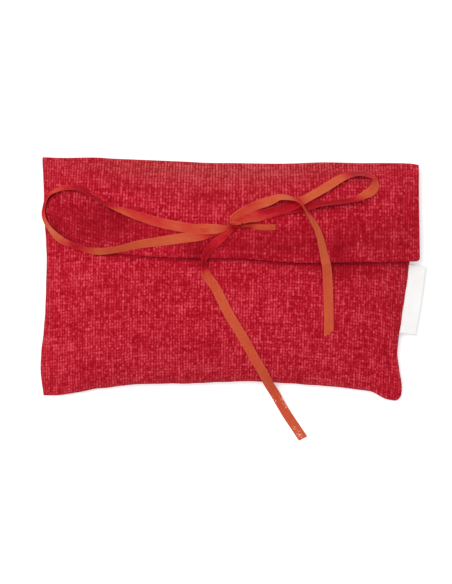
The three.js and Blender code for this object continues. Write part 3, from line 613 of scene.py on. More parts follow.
# The ribbon bow. Each run goes from the knot outwards, and each of its points has: x, y and height of its
# middle, degrees that its right-hand edge is raised, share of its width that is spread out, and how red
# its left-hand and right-hand edges are, as painted sheen and shade. A cut end slants by "cut" times the
# width, and a painted glint has its distance from that end, its place across, and its reach along and across
ribbon = {
    "width": 3, "thickness": 0.2, "camber": 0.12, "edgeThin": 0.75, "edgePower": 6,
    "stepsPerPoint": 10, "across": 24,
    "pleat": 0.5, "pleats": 2.6, "pleatStart": 0.9, "pleatDrift": 0.25, "pleatShade": 0.35, "spreadOut": 0.95,
    "rest": 0.05, "squeeze": 0.28, "squeezeUpTo": 5, "feelers": 9, "near": 7, "smooth": 14,
    # painted shade by facing: a tone, how much facing changes it, and the side facing the lamp that is
    # painted orange
    "tone": 0.18, "toneByFacing": 0.3, "litSide": (0, 0.75, 0.66),
}
bow = {
    "ribbon_loop_left": {"farEnd": "object", "route": [
        (0.9, 16.1, 18.6, 5, 0.3, 1.1, 1.1), (-0.9, 15.65, 19, 5, 0.5, 0.7, 0.6),
        (-4.91, 15.15, 18.9, 5, 1, 0.1, 0.1), (-10.32, 15.14, 18.3, 3, 1, 0.3, 0.3),
        (-13.07, 15.28, 18, 0, 1, 0.6, 0.5), (-17.06, 15.9, 17.5, 0, 1, 0.25, 0.3),
        (-23.03, 17.14, 17, -5, 1.02, 0.65, 0.75), (-29.04, 18.94, 16.3, -25, 1, 0.5, 1),
        (-35.14, 20.94, 15.2, -54, 1, 0.2, 0.9), (-38.32, 22.16, 14.3, -68, 1, 1, 1.3),
        (-41.02, 23.34, 13.6, -70, 1, 1.25, 1.4), (-43.4, 24.67, 12.8, -70, 1, 1.25, 1.4),
        (-45.8, 26.38, 11.8, -68, 1, 1.25, 1.4), (-48.42, 27.53, 10.9, -60, 1, 1.3, 1.4),
        (-51.01, 27.82, 10.2, -58, 1, 1.1, 1.2), (-53.61, 27.52, 9.4, -58, 1, 0.6, 0.9),
        (-56.12, 26.7, 8.8, -56, 0.74, 0.35, 0.6), (-58.05, 25.45, 8.3, -56, 0.74, 1, 1),
        (-59.1, 23.6, 8, -56, 0.74, 0.9, 1.1), (-59.65, 21.55, 7.8, -56, 0.74, 0.85, 1.1),
        (-59.85, 19.55, 8, -56, 0.74, 0.6, 0.95), (-59.3, 17.6, 8.2, -56, 0.74, 0, 0.15),
        (-57.99, 15.41, 8.7, -56, 0.74, -0.3, -0.25), (-55.86, 13, 9.9, -48, 1, -0.3, -0.1),
        (-53.26, 11.07, 11.2, -43, 1, 0, 0.4), (-50.09, 9.82, 12.6, -52, 1, 0.75, 0.8),
        (-47.31, 8.94, 13.7, -52, 1, 0.75, 0.8), (-44.63, 8.03, 14.5, -53, 1, 0.5, 0.1),
        (-41.8, 7.72, 15.1, -45, 1, -0.15, -0.15), (-38.93, 7.84, 15.8, -48, 1, -0.2, -0.2),
        (-34.9, 8.48, 16.4, -49, 1, -0.2, -0.2), (-28.86, 9.99, 17.1, -36, 1, -0.2, -0.2),
        (-22.92, 10.94, 17.4, -22, 1, -0.15, -0.15), (-16.99, 11.9, 17.6, -4, 1, -0.1, -0.1),
        (-13.02, 12.46, 17.7, 0, 1, 0.1, 0.1), (-9.61, 12.62, 17.8, 0, 0.78, 0.5, 0.5),
        (-6.01, 13.42, 17.9, 3, 0.5, 1, 0.9), (-1, 15, 17.9, 4, 0.42, 1.1, 1.1),
        (0.7, 15.8, 18, 3, 0.3, 1.2, 1.2)]},
    "ribbon_loop_right": {"farEnd": "object", "route": [
        (1.45, 17.24, 18.9, -6, 0.42, 0.4, 0.6), (3.23, 18.02, 18.7, -6, 0.75, 0.75, 0.55),
        (5.4, 18.82, 18.4, -5, 0.95, 0.65, 0.45), (7.56, 19.29, 18.2, 0, 1.15, 0.85, 0.65),
        (10.66, 20.1, 17.8, 0, 1.05, 1.25, 0.75), (13.76, 21.04, 17.3, 5, 1.02, 1.35, 1),
        (17.03, 22.18, 16.7, 12, 1, 1.35, 1.1), (20.62, 23.79, 15.7, 20, 1, 1.25, 1.05),
        (23.75, 25.57, 14.6, 28, 0.97, 0, 0.05), (28.8, 28.58, 13.4, 26, 1, 0, 0),
        (34.21, 32.06, 11.6, 34, 1, 0.1, 0.1), (36.15, 32.88, 11.1, 47, 1, 0.9, 0.8),
        (38.36, 33.47, 10.7, 56, 1, 1.5, 1.4), (40.59, 33.7, 10.3, 58, 1, 1.35, 1.4),
        (42.98, 33.3, 10, 56, 1, 1.1, 1.2), (44.7, 32.3, 10.2, 56, 0.95, 0.7, 1.1),
        (45.15, 30.5, 10.6, 36, 0.95, 0.15, 0.35), (44.15, 28.45, 11.2, 0, 1, 0.1, 0.15),
        (41.95, 26.97, 11.9, -30, 1, 0.3, 0.05), (39.25, 25.57, 13.2, -52, 1, 1.05, 0.9),
        (35.82, 24.77, 14.1, -58, 1, 1.35, 1.65), (32.97, 24.28, 14.8, -60, 1, 1.45, 1.7),
        (30.14, 23.9, 15.1, -60, 1, 1.45, 1.7), (26.98, 23.49, 15.1, -52, 1, 1.5, 1.65),
        (23.3, 22.5, 15, -38, 1, 1.55, 1.6), (20.1, 21.9, 15.4, -28, 0.9, 1.55, 1.6),
        (16.91, 21.21, 15.9, -20, 0.75, 1.55, 1.6), (12.21, 20.13, 16.6, -12, 0.7, 1.45, 1.4),
        (7.61, 18.83, 17.2, -12, 0.6, 1.35, 1.3), (2.71, 16.63, 17.8, -10, 0.45, 1.35, 1.3)]},
    "ribbon_tail_short": {"farEnd": "bare", "cut": 0.35, "route": [
        (0.01, 16.88, 19.3, 0, 0.5, 0.35, 0.5), (0.51, 18.6, 19.6, 0, 0.65, 0.3, 0.5),
        (2.12, 20.02, 19.6, 0, 0.75, 0.3, 0.6), (4.63, 21.33, 19.4, 2, 0.8, 0.6, 0.5),
        (7.34, 22.63, 18.7, 5, 0.95, 0.45, 0.4), (10.55, 23.83, 18.1, 8, 1, 0, 0),
        (12.46, 24.53, 17.8, 28, 1, 0, 0.1), (14.67, 25.43, 17.8, 47, 1, 0, 0),
        (17.48, 25.33, 18.1, 57, 1, 0, 0.1), (20.09, 24.52, 18.3, 72, 1, 0.6, 0.7),
        (21.88, 23.19, 18.2, 78, 1, 0.5, 0.6), (22.96, 21.37, 18, 74, 1, 0.3, 0.4),
        (24.83, 18.64, 17.7, 58, 1, -0.2, -0.15), (26.41, 16.02, 17.5, 50, 1, -0.2, -0.15),
        (27.5, 13.21, 17.5, 45, 1, -0.2, -0.15), (28.54, 9.22, 17.6, 35, 1, -0.2, -0.15),
        (29.29, 6.24, 17.5, 25, 1, -0.2, -0.15), (29.89, 3.63, 16.6, 15, 1, 0, 0),
        (30.35, -0.39, 15, 10, 1, 0, 0), (30.61, -4.7, 14, 6, 1, 0, 0), (30.8, -8.8, 13.4, 6, 1, 0, 0),
        (31, -12.51, 12.9, 6, 1, 0, 0), (31.1, -16.91, 11.9, 6, 1, 0, 0)]},
    "ribbon_tail_long": {"farEnd": "bare", "cut": -0.06, "glints": [
        (13.3, -0.62, 2.3, 0.3), (15.8, 0.75, 1.2, 0.22), (4.3, 0.25, 0.9, 0.3), (1.6, 0.2, 1.1, 0.5)],
        "route": [
        (1.25, 15.5, 18.1, 0, 0.3, 1.1, 1.1), (-0.4, 14.53, 18.5, 0, 0.55, 0.95, 0.8),
        (-3.61, 11.84, 18.6, 0, 0.88, 1.1, 0.95), (-6.22, 9.24, 18.7, 12, 0.92, 1.15, 1.1),
        (-7.72, 7.34, 18.9, 28, 0.85, 1.2, 1.15), (-8.42, 5.23, 18.5, 46, 0.66, 1.25, 1.25),
        (-8.36, 3.31, 17.8, 38, 0.66, 1.2, 1.2), (-7.51, 0.9, 17, 18, 0.95, 0.35, 0.45),
        (-4.9, -2.6, 16.2, 15, 1, 0.05, 0.05), (-2.6, -7, 15.7, 5, 1, 0, 0),
        (-0.2, -11.5, 15.1, 0, 1, 0, 0), (2, -15.01, 14.4, -5, 1, 0, 0), (4.3, -18.61, 13.4, -8, 1, 0, 0),
        (8.01, -25.12, 10.9, -13, 1, 0, 0), (10.42, -29.04, 8.7, -10, 1, 0, 0),
        (12.65, -33.2, 5.2, -2, 1, 0, 0), (14.85, -36.6, 2.4, 0, 1, 0, 0), (16.8, -39.9, 1, 0, 1, 0, 0),
        (18.75, -43.1, 0.5, 0, 1, 0, 0), (21.3, -46.8, 0.4, 0, 1, 0, 0), (24.15, -50.9, 0.4, 0, 1, 0, 0)]},
}


def settled(points):  # a ribbon's points, lowered as the cloth under them is
    x, y = points[:, 0], points[:, 1]
    u, t = flapPlaces(x, y)
    overFlap = ease((flap["end"] - t) / flap["endBlend"])
    low = points.copy()
    low[:, 2] += undulation(x, y) - flapDrop(u, np.clip(t, 0, 1)) * overFlap
    return low


def acrossBy(middles, across, spread, w):  # the points at w across a run, -1 at its left-hand edge to 1
    return middles + across * (w * spread * ribbon["width"] / 2)[:, None]


def restOnCloth(middles, across, spread):  # brings a run down to the cloth, and keeps the order of the runs
    rooms = []
    for w in np.linspace(-1, 1, ribbon["feelers"]):
        x, y, z = acrossBy(middles, across, spread, w).T
        rooms.append(z - ribbon["thickness"] / 2 - clothHeight(x, y))
    room = np.min(rooms, axis=0)
    drop = room - (ribbon["rest"] + ribbon["squeeze"] * np.clip(room, 0, ribbon["squeezeUpTo"]))
    near, smooth = ribbon["near"], ribbon["smooth"]
    beside = np.pad(drop, near, mode="edge")
    lowest = np.min([beside[k:k + len(drop)] for k in range(2 * near + 1)], axis=0)
    weights = np.exp(-np.linspace(-2, 2, 2 * smooth + 1) ** 2)
    return np.convolve(np.pad(lowest, smooth, mode="edge"), weights / weights.sum(), mode="valid")


# painted shade and sheen, by which way the satin faces the lamp
def paintedFacingShade(normals):  # redder where the satin turns to the front, more orange where it faces up or back
    facing = normals * np.sign(normals[..., 2:3] + 1e-9)
    return ribbon["tone"] - ribbon["toneByFacing"] * (facing @ np.array(ribbon["litSide"]))


def sweepRibbon(name, middles, tangents, across, spread, reds, cut=0):
    normals = np.cross(tangents, across)
    along = np.concatenate([[0], np.cumsum(np.linalg.norm(np.diff(middles, axis=0), axis=1))])
    gather = np.clip(ribbon["spreadOut"] - spread, 0, 1) * ribbon["pleat"]
    start = ribbon["pleatStart"] + ribbon["pleatDrift"] * along
    n, length = ribbon["across"], len(middles)
    side = np.sin(np.linspace(-0.5, 0.5, n + 1) * math.pi)
    rings, uv, tones = [], [], []
    for face in (1, -1):
        for w in side[::face]:
            fold = np.cos(math.pi * ribbon["pleats"] * w + start)
            half = ribbon["thickness"] / 2 * (1 - ribbon["edgeThin"] * abs(w) ** ribbon["edgePower"])
            lift = ribbon["camber"] * (1 - w * w) + face * half + gather * fold
            points = acrossBy(middles, across, spread, w) + normals * lift[:, None]
            points[-1] += tangents[-1] * cut * w * ribbon["width"]
            rings.append(points)
            uv.append(np.stack([along, np.full(length, w * ribbon["width"] / 2)], 1))
            # the given reds, and painted shade: redder in the pleats' troughs and where the satin turns from
            # the lamp
            painted = lerp(reds[:, 0], reds[:, 1], (w + 1) / 2) - ribbon["pleatShade"] * gather * fold
            tones.append(painted + paintedFacingShade(unit(normals + across * ribbon["camber"] * w)))
    count = len(rings)
    faces = []
    for k in range(length - 1):
        for c in range(count):
            d = (c + 1) % count
            faces.append((k * count + c, (k + 1) * count + c, (k + 1) * count + d, k * count + d))
    for k in (0, length - 1):  # the two cut ends
        for c in range(n):
            ring = k * count
            ends = (ring + c, ring + c + 1, ring + count - 2 - c, ring + count - 1 - c)
            faces.append(ends if k else ends[::-1])
    points, uv, tones = (np.stack(lists, 1) for lists in (rings, uv, tones))
    return makeMesh(name, points.reshape(-1, 3), faces, uv.reshape(-1, 2), orangeSatin, tones)


def makeRun(name, route, cut):
    line = smoothLine(route, ribbon["stepsPerPoint"])
    middles = settled(line[:, :3])
    tangents = unit(np.gradient(middles, axis=0))
    rights = unit(np.cross(tangents, [0, 0, 1]))
    levels = np.cross(rights, tangents)
    rise = np.radians(line[:, 3])[:, None]
    across = rights * np.cos(rise) + levels * np.sin(rise)
    middles[:, 2] -= restOnCloth(middles, across, line[:, 4])
    return sweepRibbon(name, middles, tangents, across, line[:, 4], line[:, 5:7], cut), middles


def addGlints(piece, glints, length):
    loops = piece.data.loops
    places, corners = np.zeros(2 * len(loops), np.float32), np.zeros(len(loops), np.int32)
    piece.data.uv_layers["thread"].data.foreach_get("uv", places)
    loops.foreach_get("vertex_index", corners)
    along, side = np.zeros(len(piece.data.vertices)), np.zeros(len(piece.data.vertices))
    along[corners], side[corners] = length - places[0::2], places[1::2] * 2 / ribbon["width"]
    addValues(piece.data, "glint", sum(np.exp(-((along - end) / reach) ** 4 - ((side - w) / wide) ** 4)
                                       for end, w, reach, wide in glints))


def makeBow():
    for node, run in bow.items():
        piece, middles = makeRun(node.replace("ribbon", "satin"), run["route"], run.get("cut", 0))
        length = float(np.linalg.norm(np.diff(middles, axis=0), axis=1).sum())
        if "glints" in run:
            addGlints(piece, run["glints"], length)
        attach(piece, "flap")
        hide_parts(node)
        print(piece.name, "is", round(length, 1), "mm long")


makeBow()
print("bow made")

# The knot: two short turns of ribbon, pinched small round the gathered runs, the lower one redder with
# painted shade
knot = {
    "turns": [
        {"place": (1.34, 17.02, 18.0), "turn": -4, "halfLength": 1.8, "halfWidth": 0.52, "halfHeight": 0.7,
         "pleats": 0.14, "red": 0.5},
        {"place": (1.45, 16.15, 17.5), "turn": -14, "halfLength": 1.25, "halfWidth": 0.42, "halfHeight": 0.55,
         "pleats": 0.1, "red": 1.35},
    ],
    "around": 96, "along": 40, "threads": 6.5, "ends": 0.72, "belly": 0.3, "calmEnds": 0.4, "skew": 0.08,
    "turnedIn": 0.25, "turnedDeep": 0.1, "turnedClosed": 0.55, "pleatShade": 2,
    "broadPleats": (3.2, 2.2, 1.3),  # waves round the turn, slant along it, and fade towards its ends
    "finePleats": (6, -3.1, 1, 0.6),  # waves round the turn, slant along it, start and share
}


def knotTurn(turn):
    phi = np.linspace(0, 2 * math.pi, knot["around"], endpoint=False)[:, None]
    end = 1 + knot["turnedIn"]
    s = np.linspace(-end, end, knot["along"])[None, :]
    inside = np.clip(np.abs(s), 0, 1)
    turnedIn = ease((np.abs(s) - 1) / knot["turnedIn"])
    waveCount, slant, fade = knot["broadPleats"]
    pleat = np.sin(waveCount * phi + slant * s) * np.cos(fade * s)
    waveCount, slant, start, share = knot["finePleats"]
    pleat = turn["pleats"] * (pleat + share * np.sin(waveCount * phi + slant * s + start))
    radius = knot["ends"] + knot["belly"] * (1 - inside ** 2) + pleat * (1 - knot["calmEnds"] * inside)
    radius = radius * (1 - knot["turnedClosed"] * turnedIn)
    along = turn["halfLength"] * np.sign(s) * (inside - knot["turnedDeep"] * turnedIn)
    along = along * (1 + knot["skew"] * np.sin(2 * phi + 1))
    across = turn["halfWidth"] * radius * np.cos(phi)
    up = turn["halfHeight"] * radius * np.sin(phi)
    cosine, sine = math.cos(math.radians(turn["turn"])), math.sin(math.radians(turn["turn"]))
    offsets = np.stack([along * cosine - across * sine, along * sine + across * cosine, up], 2)
    points = np.array(turn["place"]) + offsets
    closed = np.concatenate([points, points[:1]], 0)
    uv = clothUv(closed, ribbon["width"], knot["threads"])[:-1, :, ::-1] - np.array([0, ribbon["width"] / 2])
    normal = unit(np.cross(np.roll(points, -1, 0) - np.roll(points, 1, 0), np.gradient(points, axis=1)))
    # the turn's red, and painted shade: redder in the pleats and where the satin turns from the lamp
    return points, uv, turn["red"] - knot["pleatShade"] * pleat + paintedFacingShade(normal)


def makeKnot():
    around, along = knot["around"], knot["along"]
    parts = [knotTurn(turn) for turn in knot["turns"]]
    faces = []
    for t in range(len(parts)):
        for k in range(around):
            a, b = (t * around + k) * along, (t * around + (k + 1) % around) * along
            faces += [(a + c, a + c + 1, b + c + 1, b + c) for c in range(along - 1)]
    points, uv, tones = (np.concatenate([values.reshape(around * along, -1) for values in both])
                         for both in zip(*parts))
    piece = makeMesh("satin_knot", points, faces, uv, orangeSatin, tones)
    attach(piece, "flap")
    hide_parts("ribbon_knot")


# The ribbon's run through both slits of the flap, behind its face between them. Its right part shows as a
# short stub beside the knot: x, y and share of its width that is spread out. Hidden ones have x and y
band = {
    "middle": 1.7, "slits": 24, "slitLine": 16.05, "above": 0.6, "below": 1.0, "lip": 0.1, "slitDeep": 0.3,
    "turn": 0.6, "folded": 0.62, "behind": 0.9, "behindPoints": 9, "steps": 8,
    "stub": [(1.9, 15.7, 0.25), (3.6, 16.1, 0.3), (5.8, 16.2, 0.36), (7.6, 16.0, 0.55), (10.4, 15.9, 0.62),
             (12.6, 16.0, 0.62)],
    "hidden": [(-9.4, 15.0), (-5, 15.0), (-1.2, 15.4)],
    # how red, as painted sheen and shade: the stub redder where it is gathered by the knot
    "stubRed": (0.25, 0.9), "slitRed": (0.2, 0.4), "behindRed": 0.5, "hiddenRed": 0.6,
}


def makeBand():
    left, right = band["middle"] - band["slits"] / 2, band["middle"] + band["slits"] / 2
    y, above, folded, behind = band["slitLine"], band["above"], band["folded"], band["behind"]
    red, redder = band["stubRed"]
    # x, y, height over the flap's face, share of the width that is spread out, and how red, as painted shade
    route = [(x, place, above, wide, red + redder * (1 - wide / folded)) for x, place, wide in band["stub"]]
    route.append((right - band["lip"], y, above - band["lip"], folded, band["slitRed"][0]))
    route.append((right, y, -band["slitDeep"], folded, band["slitRed"][1]))
    for x in np.linspace(right - band["turn"], left + band["turn"], band["behindPoints"]):
        route.append((x, y, -band["below"], behind, band["behindRed"]))
    route.append((left, y, -band["slitDeep"], behind, band["behindRed"]))
    route += [(x, place, above, folded, band["hiddenRed"]) for x, place in band["hidden"]]
    route = np.array(route)
    route[:, 2] += flapSurface(route[:, 0], route[:, 1])
    line = smoothLine(route, band["steps"])
    middles = line[:, :3]
    tangents = unit(np.gradient(middles, axis=0))
    across = unit(np.cross(np.cross(tangents, [0, 1, 0]), tangents))
    piece = sweepRibbon("satin_band", middles, tangents, across, line[:, 3], line[:, [4, 4]])
    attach(piece, "flap")
    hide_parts("ribbon_band")


makeKnot()
makeBand()
print("knot and band made")

# Where the cloth is paler or darker: x, y, reach along x and along y, and how much
# above 0: wear from handling and painted sheen along the crease, the upper flap, the left edge and the foot,
# and painted light on the left front; below 0: painted shade and shadow in and under the bow's loops,
# by the knot and the tail, right of the flap and below the hem
placesOfWearAndPaintedLight = {
    "crease left": (-32, 38.5, 30, 8, 0.25), "crease middle": (3, 38.5, 34, 10, 0.42),
    "crease right": (45, 38.5, 25, 5, 0.24), "upper flap": (0, 27, 80, 13, 0.13),
    "left edge": (-59, 0, 2.5, 45, 0.16), "foot": (-5, -35, 60, 3, 0.22),
    "left front": (-35, -12, 22, 16, 0.04), "left loop": (-41, 17, 16, 7.5, -0.6),
    "left end": (-56, 18, 2.2, 6, -0.3), "right loop": (35, 27.5, 9, 4, -0.25),
    "by the knot": (-11, 8.5, 4.5, 3.5, -0.5), "right of flap": (45, 15, 11, 9, -0.26),
    "under the bow": (14, 11, 22, 6, -0.42), "right of the tail": (34, 8, 2.5, 8, -0.25),
    "below the hem": (39, 2.5, 13, 3, -0.22),
}
# The front is darker where the flap covers it, as painted shade, with a painted shadow line along its hem
# that fades to the right
underFlap = {
    "shadeUnderFlap": 0.12, "line": 0.5, "lineWidth": 0.75, "lineBelow": 0.35, "fade": 0.7, "fadeFrom": 36,
    "fadeOver": 14, "backWearAndSheen": 0.3,
}
# Which line of the noise each edge takes, so that no two edges waver alike
noiseLines = {"side": 9, "foot": 3, "back": 5, "sideEdge": 40, "footEdge": 90}


def toneOfWearAndPaintedLight(x, y):
    total = 0
    for x0, y0, reachX, reachY, much in placesOfWearAndPaintedLight.values():
        total = total + much * np.exp(-((x - x0) / reachX) ** 2 - ((y - y0) / reachY) ** 2)
    return total


def puckers(u, v):  # small gathers that run in from the side seams and the bottom fold
    side, foot = fromSide(u), v * pouch["height"]
    atSide = puckerLine(bodyY(u, v), noiseLines["side"] * np.sign(u - 0.5))
    atSide = atSide * np.exp(-side / pouch["puckerSide"])
    atFoot = puckerLine(bodyX(u, v), noiseLines["foot"])
    atFoot = atFoot * np.exp(-foot / pouch["puckerFoot"]) * pouch["footPucker"]
    edge = pouch["puckerEdge"]
    return pouch["pucker"] * (atSide * rounded(side, edge) + atFoot * rounded(foot, edge))


def outline(u, v):  # the edge wavers a little, as cut and sewn cloth does, and the right foot is rounded
    x, y = bodyX(u, v), bodyY(u, v)
    corner = pouch["corner"]
    side, foot = nearEdge((1 - u) * pouch["width"], corner), nearEdge(v * pouch["height"], corner)
    x, y = x - cutIn(side, foot, corner), y + cutIn(foot, side, corner)
    shift = pouch["sideWaver"] * edgeWave(y, noiseLines["sideEdge"] * np.round(u))
    shift = shift * np.abs(2 * u - 1) ** pouch["sideFade"]
    rise = pouch["footWaver"] * edgeWave(x, noiseLines["footEdge"]) * (1 - v) ** pouch["footFade"]
    proud = lerp(-pouch["proudLeft"], pouch["proudRight"], u)
    return x + shift + proud, y + rise - pouch["proudFoot"] * (1 - v)


def edgeRounds(u, v):  # how the cloth rounds into the side seams and into the bottom fold
    return rounded(fromSide(u), pouch["edgeRound"]), rounded(v * pouch["height"], pouch["edgeRound"])


def frontSkin(u, v):
    x, y = outline(u, v)
    side, foot = edgeRounds(u, v)
    middle = seamHeight(u, v) + seamStack / 2
    top = frontHeight(u, v) + undulation(x, y) + puckers(u, v)
    return np.stack([x, y, middle + (top - middle) * side * foot], -1)


def backSkin(u, v):
    x, y = outline(u, v)
    side, foot = edgeRounds(u, v)
    # above the mouth the edge lies close under the flap
    besideFlap = pouch["lip"] + pouch["lipRise"] * (v - mouthShare) / (1 - mouthShare)
    middle = lerp(seamHeight(u, v) + seamStack / 2, besideFlap, ease((v - mouthShare) / pouch["lipBlend"]))
    gather = pouch["backPucker"] * puckerLine(y, noiseLines["back"])
    gather = gather * np.exp(-fromSide(u) / pouch["backPuckerSide"])
    low = np.maximum(backHeight(u, v) + gather * side, pouch["tableGap"])
    return np.stack([x, y, middle + (low - middle) * side * foot], -1)


def creaseCentre(u):  # the fold's own axis, a little inside the crease
    return halfHeight - flap["creaseIn"] - flap["creaseRadius"] - creaseDip(u)


# One strip that starts at the hem inside, goes round the mouth and down the front, round the bottom fold
# and up the back
def makeBody():
    u = crowded(pouch["columns"], pouch["crowdColumns"])[None, :]
    rows = crowded(pouch["rows"], pouch["crowdRows"])[:, None]
    radius, inset = pouch["hemRadius"], pouch["hemInset"]
    hemStart = mouthShare - pouch["hemDepth"] / pouch["height"]
    hem = np.linspace(hemStart, mouthShare, pouch["hemRows"])[:, None]
    inner = frontSkin(lerp(inset, 1 - inset, u), hem) - np.array([0, 0, 2 * radius])
    bend = []
    for phi in np.linspace(-math.pi / 2, math.pi / 2, pouch["bendRings"])[1:-1]:
        left = lerp(inset, 0, (math.sin(phi) + 1) / 2)
        ring = frontSkin(lerp(left, 1 - left, u[0]), np.full(u.shape[1], mouthShare))
        bend.append(ring + np.array([0, radius * math.cos(phi), radius * (math.sin(phi) - 1)]))
    front = frontSkin(u, mouthShare * (1 - rows))
    back = backSkin(u, rows[1:] * bodyV(u, creaseCentre(u)))
    # the back rises to the fold over the crease and ends a little way inside it
    reach = lerp(*pouch["foldReach"], ease(np.minimum(u, 1 - u) * pouch["foldCorner"]))
    foldFoot = flap["hingeHeight"] - flap["creaseRadius"] + undulation(back[..., 0], back[..., 1])
    back[..., 2] = lerp(back[..., 2], foldFoot, ease(1 - (creaseCentre(u) - back[..., 1]) / reach))
    tuck = back[-1:] + np.array(pouch["tuck"])[:, None]
    grid = np.concatenate([inner, np.array(bend), front, back, tuck], 0)
    x, y = grid[..., 0], grid[..., 1]
    onFront = (np.arange(len(grid)) < len(inner) + len(bend) + len(front))[:, None]
    overHem = y - halfHeight + flap["depth"] * depthShare(np.clip(x / pouch["width"] + 0.5, 0, 1))
    # painted shadow along the flap's hem, fading to the right, and painted shade where the flap covers the
    # front
    line = underFlap["line"] * np.exp(-((overHem + underFlap["lineBelow"]) / underFlap["lineWidth"]) ** 2)
    line = line * (1 - underFlap["fade"] * ease((x - underFlap["fadeFrom"]) / underFlap["fadeOver"]))
    wearAndPaintedLight = toneOfWearAndPaintedLight(x, y)
    covered = wearAndPaintedLight - line - underFlap["shadeUnderFlap"] * ease(overHem)
    tones = np.where(onFront, covered, underFlap["backWearAndSheen"] * np.maximum(wearAndPaintedLight, 0))
    piece = makeSheet("pouch_cloth", grid, straightThreads(grid, *pouch["threads"]), redCotton, tones)
    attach(piece, "pouch")
    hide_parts("back_panel", "front_panel", "mouth_hem", "side_seam_left", "side_seam_right")


makeBody()
print("pouch cloth made")


# The flap: the same strip, over the crease and down to a turned-under hem
def foldOver(s, radius):  # how far inside the edge and how far under, s along the cloth from the edge
    quarter = math.pi * radius / 2
    phi = np.clip((quarter - s) / radius, 0, math.pi)
    straight = np.where(s > quarter, s - quarter, np.where(s < -quarter, -s - quarter, 0))
    return radius - radius * np.sin(phi) + straight, radius * (1 - np.cos(phi))


def flapBase(u, t):  # the flap's face without its turned edges
    x, y, z = flapPoint(u, t)
    arcTop = flap["hingeHeight"] + flap["creaseRadius"]
    z = lerp(arcTop, z - flapDrop(u, t), ease((creaseCentre(u) - y) / flap["faceRise"])) + undulation(x, y)
    x = x + lerp(-flap["proudLeft"], lerp(flap["proudRightTop"], flap["proudRightHem"], t), u)
    # rounded corners at the right end of the hem and of the crease
    corner = flap["corner"]
    side = nearEdge((1 - u) * pouch["width"], corner)
    hem, top = nearEdge((1 - t) * flap["depth"], corner), nearEdge(t * flap["depth"], corner)
    x = x - cutIn(side, hem, corner) - cutIn(side, top, corner)
    y = y + cutIn(hem, side, corner)
    return np.stack(np.broadcast_arrays(x, y, z), -1)


def makeFlap():
    turn, width, depth, edge = flap["turnUnder"], pouch["width"], flap["depth"], flap["edgeStrip"]
    edgeColumns, foldRadius, levelFrom = flap["edgeColumns"], flap["foldRadius"], flap["levelFrom"]
    # c runs across the cloth and d down it, and both go on round the turned edges
    rightEdge = np.linspace(width - edge, width + turn, edgeColumns)[1:]
    c = np.concatenate([np.linspace(-turn, edge, edgeColumns)[:-1],
                        lerp(edge, width - edge, crowded(flap["columns"], flap["crowd"])), rightEdge])
    d = np.concatenate([lerp(0, depth - edge, crowded(flap["rows"], flap["crowd"])),
                        np.linspace(depth - edge, depth + turn, edgeColumns)[1:]])
    insideLeft, underLeft = foldOver(c, foldRadius)
    insideRight, underRight = foldOver(width - c, foldRadius)
    insideHem, underHem = foldOver(depth - d, foldRadius)
    u = np.where(c < width / 2, insideLeft, width - insideRight) / width
    underSide = np.where(c < width / 2, underLeft, underRight)
    foldLine = creaseCentre(u)
    tStart = (halfHeight - foldLine) / (depth * depthShare(u))
    face = flapBase(u[None, :], lerp(tStart[None, :], 1, ((depth - insideHem) / depth)[:, None]))
    # the fold over the crease, from the back up to the face
    arc = []
    for phi in np.linspace(-math.pi / 2, math.pi / 2, flap["foldRings"])[:-1]:
        ring = flapBase(u, tStart)
        ring[:, 1] = foldLine + flap["creaseRadius"] * math.cos(phi)
        ring[:, 2] = flap["hingeHeight"] + flap["creaseRadius"] * math.sin(phi) + undulation(*ring[:, :2].T)
        arc.append(ring)
    arc = np.array(arc)
    grid = np.concatenate([arc, face], 0)
    # the cloth's own outward direction, which its turned edges share with the face beside them
    normals = unit(np.cross(np.gradient(grid, axis=0), np.gradient(grid, axis=1)))
    up = np.where(normals[..., 2:3] < 0, -normals, normals)
    foldAxis = np.stack([arc[..., 0], np.broadcast_to(foldLine, arc.shape[:2]),
                         np.full(arc.shape[:2], flap["hingeHeight"])], -1)
    up[:len(arc)] = unit(arc - foldAxis)
    level = np.flatnonzero((c >= levelFrom) & (c <= width - levelFrom))
    columns = np.clip(np.arange(len(c)), level[0], level[-1])
    rows = np.minimum(np.arange(len(grid)), len(arc) + np.flatnonzero(d <= depth - levelFrom)[-1])
    up = up[rows][:, columns]
    # where the cloth is turned under, its layers show as a faint ridge, and both fade towards the crease
    fromHem = np.concatenate([np.full(len(arc), depth), insideHem])[:, None]
    nearest = np.minimum(np.minimum(insideLeft, insideRight)[None, :], fromHem)
    ridge = flap["ridge"] * (1 - ease((nearest - flap["ridgeWidth"]) / flap["ridgeFade"]))
    under = underSide[None, :] + np.concatenate([np.zeros(len(arc)), underHem])[:, None]
    share = lerp(flap["foldShare"], 1, ease(np.concatenate([np.zeros(len(arc)), d]) / flap["foldFade"]))
    grid = grid + up * ((ridge - np.minimum(under, 2 * foldRadius)) * share[:, None])[..., None]
    uv = straightThreads(grid, *flap["threads"], int(np.sum(c < 0)))
    uv[..., 1] += pouch["threads"][1]
    # the same wear, painted sheen and painted shade as on the body
    tones = toneOfWearAndPaintedLight(grid[..., 0], grid[..., 1])
    tones[:len(arc)] *= np.linspace(underFlap["backWearAndSheen"], 1, len(arc))[:, None]
    piece = makeSheet("flap_cloth", grid, uv, redCotton, tones)
    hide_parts("flap_outer")
    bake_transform(piece)


lining = {
    "inset": 1.3, "start": 3.3, "below": 0.95, "belowMiddle": 1.6, "thickness": 0.3, "sideReach": 9,
    "dropFrom": 1.5, "dropOver": 3.5, "columns": 160, "rows": 60, "crowd": 0.3, "threads": (118, 29),
}


